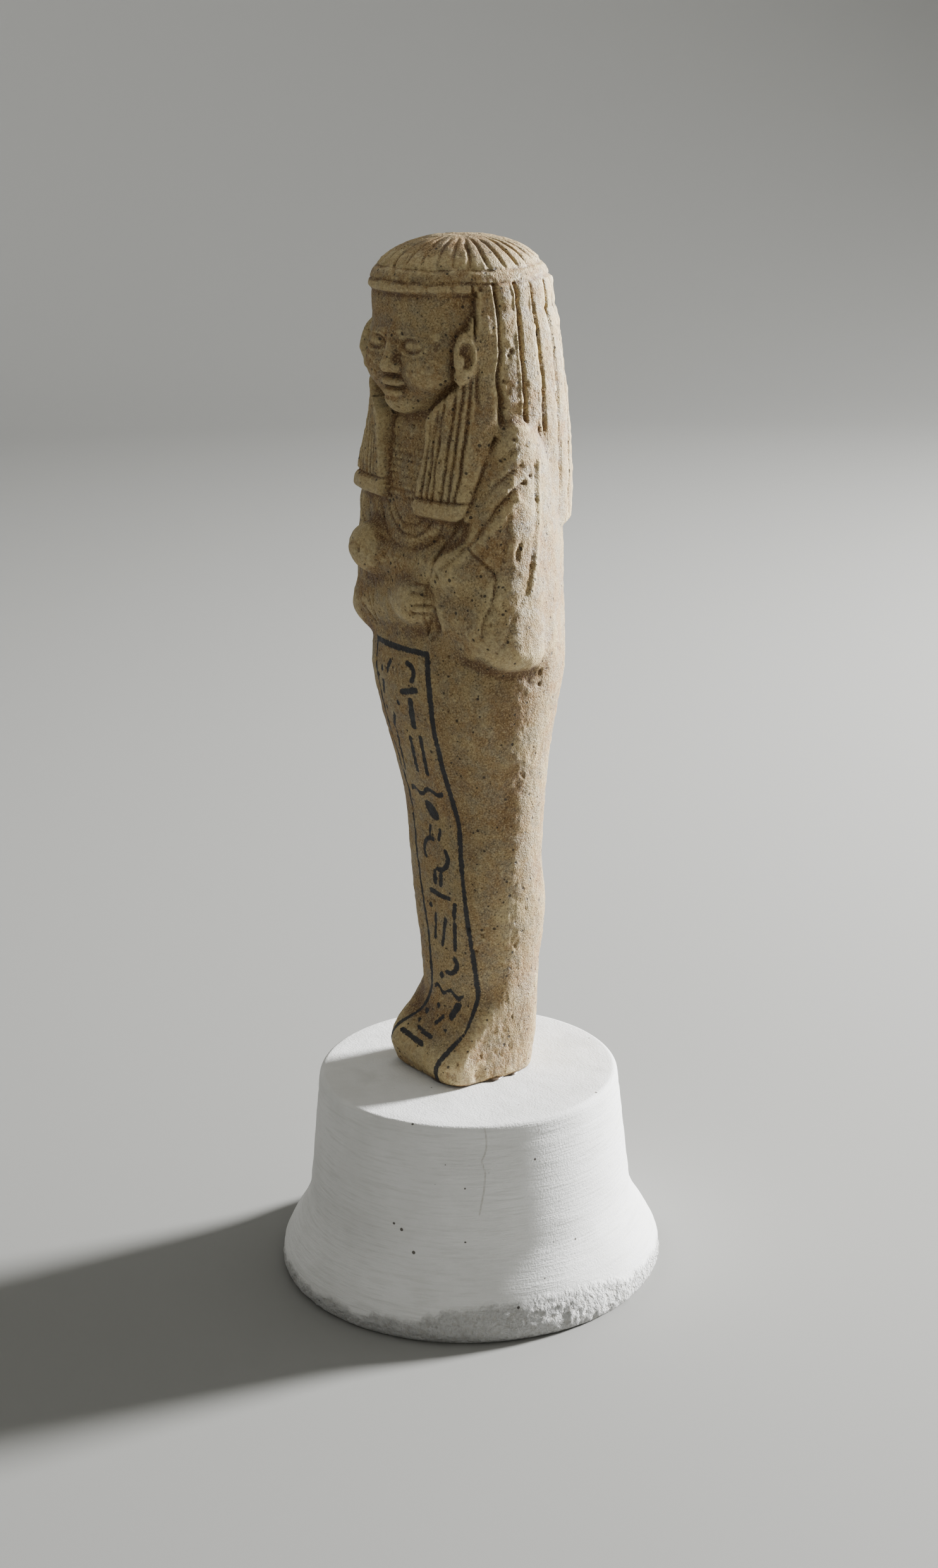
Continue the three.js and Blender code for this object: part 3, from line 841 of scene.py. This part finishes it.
panelSettings = {
    "left": [
        (78, -7.4), (65, -7.2), (50, -5.6), (42.7, -4.4), (37.6, -3.7), (30, -2.3), (22, -1.4), (15, -1.3),
        (11.6, -3), (7, -5.4), (3, -7.4), (-6, -8.4),
    ],
    "right": [
        (78, 6.4), (68.8, 7.2), (62.7, 6.8), (56, 6.5), (50, 6.6), (45.5, 7.1), (32, 7.3), (15, 7.6),
        (9, 7.6), (4, 6.4), (-6, 3.8),
    ],
    "top": 74.9,
    "bottom": -4.5,
    "leftLine": 0.32,
    "rightLine": 0.46,
    "toesStart": -7.9,
    "toesReach": 4.8,
    "toesStretch": 0.9,
    "marks": [
        ("bow", 2.4, 71.2, 1.6, 20, 0.42), ("bar", -2.6, 71.4, 2.2, 60, 0.36),
        ("bar", 2.6, 68.2, 3.6, 14, 0.5), ("dot", -4.8, 70.6, 0, 0, 0.5),
        ("bar", -5.3, 67.3, 2.2, 70, 0.36), ("dot", -5.6, 63.8, 0, 0, 0.42),
        ("bar", 2.6, 64.4, 4.4, 84, 0.62), ("dot", -0.6, 65.6, 0, 0, 0.5),
        ("bar", -3.2, 62, 2.6, 60, 0.36), ("bar", 3, 57, 6.6, 84, 0.42), ("bar", 0.4, 56.8, 6, 84, 0.42),
        ("bar", -3.9, 56.4, 7.2, 82, 0.3), ("wave", 0.6, 50.1, 8.4, 8, 0.38),
        ("oval", 1.6, 46.9, 1.9, -50, 1.1), ("bar", 0.7, 43.4, 1.5, 80, 0.34),
        ("bar", 3, 43, 1.8, 76, 0.34), ("bow", 1, 39.8, 2.1, 150, 0.38), ("bow", 2.6, 39, 2.1, -30, 0.38),
        ("bar", 1.6, 35.4, 1.9, 86, 0.4), ("bar", 3, 35.2, 1.9, 84, 0.4),
        ("bar", 2.4, 32.4, 4.2, -8, 0.42), ("dot", 0, 30, 0, 0, 0.5), ("bar", 5.4, 30.2, 2.2, 80, 0.38),
        ("bar", 0.8, 26.4, 4.4, 80, 0.32), ("bar", 2.8, 25.8, 5.2, 76, 0.34),
        ("bar", 5, 25.4, 5, 84, 0.32), ("bow", 3.2, 20.2, 1.7, -30, 0.42), ("dot", 1.6, 17.7, 0, 0, 0.6),
        ("wave", 2.6, 14.9, 5.4, -6, 0.4), ("bar", 4.4, 11.9, 2.2, 66, 0.6),
        ("dot", 0.6, 11.9, 0, 0, 0.5), ("dot", -2.2, 9.8, 0, 0, 0.6), ("bar", 1.6, 9.3, 2.6, 62, 0.36),
        ("dot", 3.8, 7.8, 0, 0, 0.5), ("dot", -3, 7.2, 0, 0, 0.5), ("bar", -0.4, 5.3, 3.6, -8, 0.5),
        ("bar", -2.4, 3.1, 5.6, -8, 0.6),
    ],
}


def alongPanel(y, z, s):
    # height on the leg, and on over the instep and down the toes
    return z - s["toesStretch"] * np.clip(s["toesStart"] - y, 0, s["toesReach"]) * step(14, 10, z)


def markDistance(x, v, mark):
    kind, mx, mv, length, tilt, half = mark
    turn = radians(tilt)
    u = (x - mx) * cos(turn) + (v - mv) * sin(turn)
    w = (v - mv) * cos(turn) - (x - mx) * sin(turn)
    if kind == "bar":
        return np.hypot(np.maximum(np.abs(u) - length / 2, 0), w) - half
    if kind == "dot":
        return np.hypot(u, w) - half
    if kind == "wave":
        swell = 0.45 * np.sin(u * 2 * pi / (length * 0.55))
        return np.hypot(np.maximum(np.abs(u) - length / 2, 0), w - swell) - half
    if kind == "oval":
        return (np.hypot(u / length, w / half) - 1) * half
    # bow: a short piece of a circle
    ring = np.abs(np.hypot(u, w) - length)
    ends = [np.hypot(u - length * cos(a), w - length * sin(a)) for a in (radians(70), radians(-70))]
    within = np.abs(np.degrees(np.arctan2(w, u))) < 70
    return np.where(within, ring, np.minimum(*ends)) - half


def borderPath(stations, top, bottom):
    # a border line as (across, height), from the panel's top to its bottom
    heights = [top] + [height for height, across in stations if bottom < height < top] + [bottom]
    known = sorted(stations)
    return [(np.interp(height, *zip(*known)), height) for height in heights]


def paintDistance(x, y, z, s):
    # negative inside a painted stroke
    v = alongPanel(y, z, s)
    left = borderPath(s["left"], s["top"], s["bottom"])
    right = borderPath(s["right"], s["top"], s["bottom"])
    # the right border crosses a side that turns away, so it is narrower across
    rightLine = s["rightLine"] * (1 - 0.42 * step(60, 14, v) * step(6, 9, v))
    nearest = np.minimum(pathDistance(x, v, left) - s["leftLine"], pathDistance(x, v, right) - rightLine)
    nearest = np.minimum(nearest, pathDistance(x, v, [left[0], right[0]]) - s["rightLine"])
    for mark in s["marks"]:
        nearest = np.minimum(nearest, markDistance(x, v, mark))
    nearest = nearest + 0.07 * lumps(x, y, z, 2.4, 81)
    return np.clip(np.where(y < 0, nearest, 3), -2, 3)


# Warm earth stains and pale rubbed places, as (degrees, height, spread around, spread up, strength). The dark
# stripe down the leg's side at 80 and 81 degrees is partly stain and partly painted shade, and the pale band
# beside it at 88 degrees is partly rubbed and partly painted light on the leg's lit edge.

earthStainAndShadePatches = [
    (92, 82, 14, 9, 0.9), (100, 98, 6, 12, 0.5), (40, 55, 10, 14, 0.7), (52, 34, 9, 16, 0.8),
    (30, 68, 12, 7, 0.5), (60, 14, 14, 10, 0.6), (78, 60, 10, 8, 0.5), (20, 86, 16, 6, 0.5),
    (24, 97, 18, 6, 0.6), (28, 108, 12, 6, 0.7), (84, 111, 16, 2, 0.9), (50, 128, 16, 5, 0.5),
    (36, 118, 14, 5, 0.4), (110, 30, 9, 22, 0.5), (-40, 60, 20, 22, 0.5), (180, 70, 40, 26, 0.5),
    (210, 30, 25, 18, 0.4), (150, 118, 30, 10, 0.4), (240, 90, 25, 16, 0.5), (80, 47, 8, 8, 0.6),
    (118, 36, 10, 14, 0.7), (110, 11, 12, 7, 0.7), (87, 6.5, 12, 4, 0.7), (74, 67, 9, 4, 0.9),
    (89, 67, 9, 6, 0.7), (18, 79, 12, 3, 0.6), (81, 54, 5, 13, 0.9), (34, 2.5, 26, 3, -0.6),
    (60, 3, 16, 3, -0.9), (83, 29, 11, 11, -0.7), (88, 58, 10, 7, -0.7), (62, 85, 10, 8, -0.5),
    (86, 97, 7, 12, -0.6), (76, 122, 12, 8, -0.5), (0, 135, 60, 3, 0.3),
]


def earthStainAndShadeOf(x, y, z, patches):
    turn = np.degrees(np.arctan2(x, -y)) + 5 * lumps(x, y, z, 4, 82)
    height = z + 2 * lumps(x, y, z, 3, 83)
    total = 0
    for middle, level, around, up, strength in patches:
        away = (turn - middle + 180) % 360 - 180
        total = total + strength * dip(np.hypot(away / around, (height - level) / up), 1)
    return np.clip(total, -1, 1)


figurePlace = Vector((-1.5 * mm, 2.4 * mm, soleHeight))  # it stands a little off the stand's axis


def makeFigure(s):
    height, dx, dy, dz = raysOf(s)
    rings, columns = height.shape
    clearSelection()
    bpy.ops.mesh.primitive_uv_sphere_add(segments=columns, ring_count=rings + 1, radius=0.05)
    piece = newPiece("carvedFigure")
    order = sphereOrder(pointsOf(piece), rings, columns)
    reach = reachOf(height, dx, dy, dz, s)

    def onRays(r):
        return r * dx.ravel(), r * dy.ravel(), height.ravel() + r * dz.ravel()

    paint = paintDistance(*onRays(reach), panelSettings)
    # painted strokes lie a hair below the surface
    reach = reach - wearDepth(*onRays(reach), wearSettings)
    reach = reach - wearSettings["paintDepth"] * step(0.1, -0.15, paint)
    surface = np.stack(onRays(reach), 1)
    surface[:, 2] -= surface[0, 2]
    sole, crown = surface[:columns].mean(0), surface[-columns:].mean(0)
    points = np.concatenate([surface, [sole, crown]])[order]
    points *= (figureBox[1].z - figureBox[0].z) / points[:, 2].max()
    movePoints(piece, points + np.array(figurePlace))
    hollow = hollowOf(reach.reshape(rings, columns), s).ravel()
    # stains, with a painted shade stripe and a painted lit band on the leg's side
    earthStainAndShade = earthStainAndShadeOf(*surface.T, earthStainAndShadePatches)
    for name, values in (("hollow", hollow), ("paint", paint), ("earthStainAndShade", earthStainAndShade)):
        keepValues(piece, name, np.concatenate([values, values[:1], values[-1:]])[order])
    return piece, surface[:columns]


def hollowOf(reach, s):
    # how far each point lies below its near surroundings, from -1 on a ridge to 1 in a groove
    found = 0
    for size in s["hollowSizes"]:
        blurred = reach
        for _ in range(2):
            padded = np.pad(blurred, ((size, size), (0, 0)), mode="edge")
            padded = np.concatenate([padded[:, -size:], padded, padded[:, :size]], 1)
            sums = np.cumsum(np.cumsum(padded, 0), 1)
            sums = np.pad(sums, ((1, 0), (1, 0)))
            n = 2 * size + 1
            blurred = (sums[n:, n:] - sums[:-n, n:] - sums[n:, :-n] + sums[:-n, :-n]) / n ** 2
        found = found + (blurred - reach) / s["deepHollow"]
    return np.clip(found, -1, 1)


def sphereOrder(points, rings, columns):
    # for each point of the sphere, its number among the rings from the sole up, then the two poles
    radius = np.linalg.norm(points, axis=1).max()
    tilt = np.arcsin(np.clip(points[:, 2] / radius, -1, 1))
    ring = np.round((tilt / pi + 0.5) * (rings + 1)).astype(int)
    turn = np.arctan2(points[:, 0], -points[:, 1])
    column = np.round(turn / (2 * pi) * columns).astype(int) % columns
    order = (ring - 1) * columns + column
    order[ring == 0] = rings * columns
    order[ring == rings + 1] = rings * columns + 1
    return order


figure, soleOutline = makeFigure(meshSettings)
clearSelection()
figure.select_set(True)
bpy.context.view_layer.objects.active = figure
bpy.ops.object.shade_smooth()
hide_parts("figure")
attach(figure, "root")
print("figure carved:", len(figure.data.polygons), "faces")


# The stand is cast in plaster: it tapers upwards, flares at its foot and has a rough lower rim

standSettings = {
    "topRadius": 25.3,  # mm
    "taper": 3.7,
    "flareWidth": 4,
    "flareHeight": 12.6,
    "edgeRound": 1,
    "footLift": 1.9,
    "footInset": 1.3,
    "segments": 600,
    "ringZones": [(1.9, 10, 32), (10, 34.3, 48)],
    "curlRings": 8,
    "edgeRings": 6,
    "topRings": 12,
    "trowelDepth": 0.05,
    "rubbleDepth": 0.3,
    "rubble": [(1.2, 0.3, 97), (0.7, 0.26, 101)],  # size, height, seed
    # the rough rim's height is greatest on the camera's right
    "rimHeight": (3, 6.2),
    "rimWidest": 22,
    "rimSpread": 36,
    # fine cracks as (degrees, height)
    "hairlines": [
        [(5.6, 35), (6.2, 33.2), (6.1, 31.8), (5.2, 30.6), (4.2, 29.6), (5, 28.4), (5.4, 27.4), (4.9, 24.8),
         (3.6, 22), (3, 20.4)],
        [(26, 34.8), (26.3, 33)],
    ],
}


def standRadius(z, s):
    flare = 0.5 + 0.5 * np.cos(pi * np.clip((z - s["footLift"]) / s["flareHeight"], 0, 1))
    return s["topRadius"] + s["taper"] * (1 - z / standHeight) + s["flareWidth"] * flare


def standProfile(s):
    # (radius, height) from the underside's edge to the middle of the top
    under = standRadius(s["footLift"], s) - s["footInset"]
    profile = [(under, 0)]
    # the lowest stretch curls in to the underside
    for i in range(1, s["curlRings"]):
        turn = i / s["curlRings"] * pi / 2
        profile.append((under + s["footInset"] * sin(turn), s["footLift"] * (1 - cos(turn))))
    profile += [(standRadius(z, s), z) for z in spread(s["ringZones"], last=True)]
    edge = standHeight - s["edgeRound"]
    for i in range(1, s["edgeRings"] + 1):
        turn = i / s["edgeRings"] * pi / 2
        inset = s["edgeRound"] * (1 - cos(turn))
        profile.append((standRadius(edge, s) - inset, edge + s["edgeRound"] * sin(turn)))
    rim = profile[-1][0]
    profile += [(rim * (1 - i / s["topRings"]), standHeight) for i in range(1, s["topRings"])]
    return profile


def makeStand(s):
    piece = turnedPiece("plasterStand", standProfile(s), s["segments"])
    points = pointsOf(piece) / mm
    x, y, z = points.T
    radius = np.maximum(np.hypot(x, y), 1e-6)
    turn = np.degrees(np.arctan2(x, -y))
    side = step(s["topRadius"] - 3, s["topRadius"], radius)
    # trowel lines around the body, and a rough broken rim below
    lines = 1 + waver(z + 0.5 * waver(turn, 40, 91), 1.1, 92)
    inward = s["trowelDepth"] * lines + 0.04 * lumps(x, y, z, 5, 93)
    narrow, wide = s["rimHeight"]
    fromWidest = (turn - cameraSettings["azimuth"] - s["rimWidest"] + 180) % 360 - 180
    rim = narrow + (wide - narrow) * dip(fromWidest, s["rimSpread"])
    rim = rim + 0.5 * waver(turn, 9, 94) + 0.4 * waver(turn, 2.4, 95)
    rough = step(rim + 1, rim - 1, z)
    broken = s["rubbleDepth"] + 0.16 * lumps(x, y, z, 2.3, 96)
    for size, height, seed in s["rubble"]:
        broken = broken - height * np.abs(lumps(x, y, z, size, seed))
    inward = inward + rough * np.maximum(broken, 0) * step(0, 0.4, z)
    inward = inward * side
    x, y = x * (1 - inward / radius), y * (1 - inward / radius)
    onTop = step(standHeight - 0.2, standHeight, z) * (1 - side)
    z = z - onTop * (0.03 + 0.03 * lumps(x, y, z, 4, 99))
    movePoints(piece, np.stack([x, y, z], 1) * mm)
    across = np.radians((turn - cameraSettings["azimuth"] + 180) % 360 - 180) * s["topRadius"]
    away = np.full(len(z), 3.0)
    for crack in s["hairlines"]:
        path = [(radians(degrees) * s["topRadius"], height) for degrees, height in crack]
        away = np.minimum(away, pathDistance(across, z, path))
    keepValues(piece, "hairline", np.clip(np.where(radius > s["topRadius"] - 1.5, away, 3), 0, 3))
    keepValues(piece, "rough", rough * side)
    return piece


stand = makeStand(standSettings)
bpy.ops.object.shade_smooth_by_angle(angle=radians(50))
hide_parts("stand")
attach(stand, "root")
print("stand made:", len(stand.data.polygons), "faces")


# Film of adhesive under the sole, squeezed out a little in places

filmSettings = {
    "inset": 0.5,  # mm
    # where it was squeezed out, as (degrees, reach, spread)
    "squeezed": [(74, 0.9, 9), (96, 0.7, 6), (20, 0.5, 8), (-70, 0.6, 10), (170, 0.6, 12)],
    "thickness": 0.45,
    "belly": 0.18,
    "sunk": 0.02,
    "firstRadius": 10,
    "segments": 144,
}


def makeFilm(s, outline):
    rings = [(s["firstRadius"], share * s["thickness"]) for share in (0, 0.5, 1)]
    film = turnedPiece("adhesiveFilm", rings, s["segments"])
    points = pointsOf(film) / mm
    turn = np.degrees(np.arctan2(points[:, 0], -points[:, 1]))
    known = np.degrees(np.arctan2(outline[:, 0], -outline[:, 1]))
    order = np.argsort(known)
    reach = np.interp(turn, known[order], np.hypot(outline[:, 0], outline[:, 1])[order], period=360)
    reach = reach - s["inset"] + 0.12 * waver(turn, 11, 111)
    for middle, out, width in s["squeezed"]:
        away = (turn - middle + 180) % 360 - 180
        reach = reach + out * dip(away, width)
    belly = np.where(np.abs(points[:, 2] - s["thickness"] / 2) < 0.01, s["belly"], 0)
    share = np.minimum(np.hypot(points[:, 0], points[:, 1]) / s["firstRadius"], 1)
    radial = (reach + belly) * share
    flat = np.stack([np.sin(np.radians(turn)) * radial, -np.cos(np.radians(turn)) * radial, points[:, 2]], 1)
    place = np.array([figurePlace.x, figurePlace.y, standBox[1].z - s["sunk"] * mm])
    movePoints(film, flat * mm + place)
    return film


film = makeFilm(filmSettings, soleOutline)
bpy.ops.object.shade_smooth_by_angle(angle=radians(60))
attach(film, "root")
print("adhesive film made")


# Materials. A look gives the shader's values, the patterns and masks, and the layers of colour from
# the body outwards. A pattern is (size in mm, detail, roughness, how many times wider than high).
# A part of a mask is (name, low, high, start, end): it runs from start to end as its source runs
# from low to high, and a layer covers as much as its parts multiplied say.

def fillInputs(tree, node, inputs):
    # an input is a fixed value, a colour as sRGB hex, or the socket that feeds it
    for key, value in inputs.items():
        if isinstance(value, bpy.types.NodeSocket):
            tree.links.new(value, node.inputs[key])
        else:
            node.inputs[key].default_value = linear(value) if isinstance(value, str) else value


def addNode(tree, kind, output, inputs, **settings):
    node = tree.nodes.new("ShaderNode" + kind)
    for key, value in settings.items():
        setattr(node, key, value)
    fillInputs(tree, node, inputs)
    return node.outputs[output]


def blend(tree, sockets, operation, parts):
    # the parts of a mask, added or multiplied
    total = None
    for key, low, high, start, end in parts:
        source = sockets[key]
        values = {"Value": source, "From Min": low, "From Max": high, "To Min": start, "To Max": end}
        part = addNode(tree, "MapRange", "Result", values)
        total = part if total is None else addNode(tree, "Math", 0, {0: total, 1: part}, operation=operation)
    return total


def makeMaterial(name, look):
    material = bpy.data.materials.new(name)
    material.use_nodes = True
    tree = material.node_tree
    shader = tree.nodes["Principled BSDF"]
    fillInputs(tree, shader, look["shader"])
    if "layers" not in look:
        return material
    place = addNode(tree, "TexCoord", "Object", {})
    sockets = {}
    for key in look["attributes"]:
        sockets[key] = addNode(tree, "Attribute", "Fac", {}, attribute_name=key)
    for key, (size, detail, roughness, wider) in look["patterns"].items():
        values = {"Vector": place, "Scale": (1 / wider, 1 / wider, 1)}
        stretched = addNode(tree, "Mapping", "Vector", values)
        values = {"Vector": stretched, "Scale": 1 / (size * mm), "Detail": detail, "Roughness": roughness}
        sockets[key] = addNode(tree, "TexNoise", "Fac", values)
    for key, spacing in look["cells"].items():
        values = {"Vector": place, "Scale": 1 / (spacing * mm), "Randomness": 1}
        sockets[key] = addNode(tree, "TexVoronoi", "Distance", values)
    for key, (operation, *parts) in look["masks"].items():
        sockets[key] = blend(tree, sockets, operation, parts)
    colour = look["base"]
    for key, *parts in look["layers"]:
        values = {0: blend(tree, sockets, "MULTIPLY", parts), 6: colour, 7: look["colours"][key]}
        colour = addNode(tree, "Mix", 2, values, data_type="RGBA")
    strength, depth = look["bump"]
    height = blend(tree, sockets, "ADD", look["heights"])
    values = {"Height": height, "Strength": strength, "Distance": depth * mm}
    linked = {"Base Color": colour, "Normal": addNode(tree, "Bump", "Normal", values)}
    if "roughness" in look:
        linked["Roughness"] = blend(tree, sockets, "MULTIPLY", look["roughness"])
    fillInputs(tree, shader, linked)
    return material


# Egyptian faience: sintered quartz whose glaze has weathered off, which leaves a sandy buff body,
# grey-green remains of glaze, red-brown earth in the hollows, small dark pits and blue-black paint
faienceLook = {
    "shader": {"Roughness": 0.75, "IOR": 1.5},
    "base": "A28C62",
    "colours": {
        "warmBody": "92734A",
        "glaze": "74705E",
        "paleGlaze": "D0BD8C",
        "earth": "654526",
        # stain colour, also used for the painted shade stripe down the leg's side
        "earthStainAndShade": "80623A",
        "pit": "2E241A",
        "ink": "23272E",
    },
    "attributes": ("hollow", "paint", "earthStainAndShade"),
    "patterns": {
        "patches": (7, 4, 0.6, 1),
        "blotches": (2.45, 3, 0.6, 1),
        "specks": (0.6, 3, 0.7, 1),
        "grain": (0.28, 2, 0.7, 1),
        "pitSizes": (1.17, 1, 0.6, 1),
    },
    "cells": {"fromPit": 1.3},  # mm between pits
    "masks": {
        "glazed": ("MULTIPLY", ("blotches", 0.42, 0.6, 0, 1), ("specks", 0.3, 0.62, 0.25, 0.95)),
        # stains and rubbed places, with the painted shade stripe and painted lit band on the leg's side
        "earthStainAndShadeMask": ("ADD", ("earthStainAndShade", -1, 1, -1, 1), ("patches", 0.35, 0.65, -0.25, 0.25)),
        "dirty": ("ADD", ("hollow", -1, 1, -1, 1), ("blotches", 0.3, 0.7, -0.2, 0.2),
                  ("specks", 0.35, 0.65, -0.15, 0.15)),
        "pitDepth": ("ADD", ("pitSizes", 0.4, 0.7, 0.02, 0.26), ("fromPit", 0, 3, 0, -3)),
        "inPit": ("ADD", ("pitDepth", -0.03, 0.05, 0, 1)),
        "painted": ("ADD", ("paint", -2, 3, -2, 3), ("specks", 0.3, 0.7, -0.1, 0.14)),
    },
    "layers": [
        ("warmBody", ("patches", 0.38, 0.62, 0, 1)),
        ("glaze", ("glazed", 0, 1, 0, 0.6)),
        ("paleGlaze", ("specks", 0.56, 0.72, 0, 0.55)),
        # warm stains and pale rubbed places; on the leg's side they also paint a dark stripe of shade and a
        # pale band of light
        ("earthStainAndShade", ("earthStainAndShadeMask", 0.25, 1.1, 0, 0.7)),
        ("paleGlaze", ("earthStainAndShadeMask", -0.25, -0.9, 0, 0.6), ("specks", 0.35, 0.62, 0.3, 1)),
        # earth in the hollows and in the fine grain
        ("earth", ("dirty", 0.22, 0.95, 0, 0.85)),
        ("pit", ("grain", 0.47, 0.31, 0, 0.75)),
        ("paleGlaze", ("grain", 0.54, 0.7, 0, 0.6)),
        # edges are rubbed pale
        ("paleGlaze", ("hollow", -0.12, -0.6, 0, 0.6), ("specks", 0.35, 0.6, 0.35, 1)),
        ("pit", ("inPit", 0, 1, 0, 0.85)),
        ("ink", ("painted", 0.12, -0.02, 0, 1), ("grain", 0.3, 0.5, 0.8, 0.97)),
    ],
    "roughness": [("glazed", 0, 1, 0.8, 0.52)],
    "heights": [("grain", 0, 1, 0, 0.26), ("specks", 0, 1, 0, 0.3), ("inPit", 0, 1, 0, -0.2)],
    "bump": (0.75, 1),  # strength, mm
}

# Casting plaster: matt white, smooth on top, with fine trowel lines, air pits and a broken rim that is grey
# with dust and darker in its hollows as painted shade
plasterLook = {
    "shader": {"Roughness": 0.9, "IOR": 1.5},
    "base": "ECECEA",
    "colours": {"grey": "D9D9D5", "dustAndShade": "D9D7D1", "pit": "5E5A54", "crack": "BAB6AE"},
    "attributes": ("rough", "hairline"),
    "patterns": {
        "lines": (0.5, 3, 0.6, 14),
        "patches": (9, 3, 0.6, 1),
        "grain": (0.35, 2, 0.6, 1),
        "rubble": (0.8, 4, 0.6, 1),
        "pitSizes": (3.12, 1, 0.6, 1),
    },
    "cells": {"fromPit": 2.4},
    "masks": {
        "pitDepth": ("ADD", ("pitSizes", 0.5, 0.75, -0.02, 0.14), ("fromPit", 0, 3, 0, -3)),
        "heaped": ("MULTIPLY", ("rubble", 0.3, 0.7, 0, 7), ("rough", 0, 1, 0, 1)),
    },
    "layers": [
        ("grey", ("patches", 0.4, 0.65, 0, 0.45)),
        ("grey", ("lines", 0.5, 0.7, 0, 0.7)),
        # dust on the broken rim, darker in the rubble's low places as painted shade
        ("dustAndShade", ("rough", 0, 1, 0, 1), ("rubble", 0.52, 0.36, 0, 1)),
        ("pit", ("pitDepth", -0.02, 0.02, 0, 1)),
        ("crack", ("hairline", 0.2, 0.05, 0, 0.8)),
    ],
    "heights": [("grain", 0, 1, 0, 0.35), ("lines", 0, 1, 0, 1), ("heaped", 0, 7, 0, 7)],
    "bump": (0.8, 0.3),
}

# Set resin adhesive: dark brown and glossy, with paler clouds in it
adhesiveLook = {
    "shader": {"Roughness": 0.3, "IOR": 1.5},
    "base": "2A2119",
    "colours": {"bubble": "5A4A38"},
    "attributes": (),
    "patterns": {"cloud": (0.8, 2, 0.5, 1)},
    "cells": {},
    "masks": {},
    "layers": [("bubble", ("cloud", 0, 1, 0, 1))],
    "heights": [("cloud", 0, 1, 0, 1)],
    "bump": (0.4, 0.3),
}

# Matt painted board under and behind the object
boardLook = {"shader": {"Base Color": stageSettings["colour"], "Roughness": 0.9}}

for piece, name, look in (
    (figure, "weatheredFaience", faienceLook),
    (stand, "castPlaster", plasterLook),
    (film, "setAdhesive", adhesiveLook),
    (floor, "paleBoard", boardLook),
):
    piece.data.materials.clear()
    piece.data.materials.append(makeMaterial(name, look))
print("materials made")
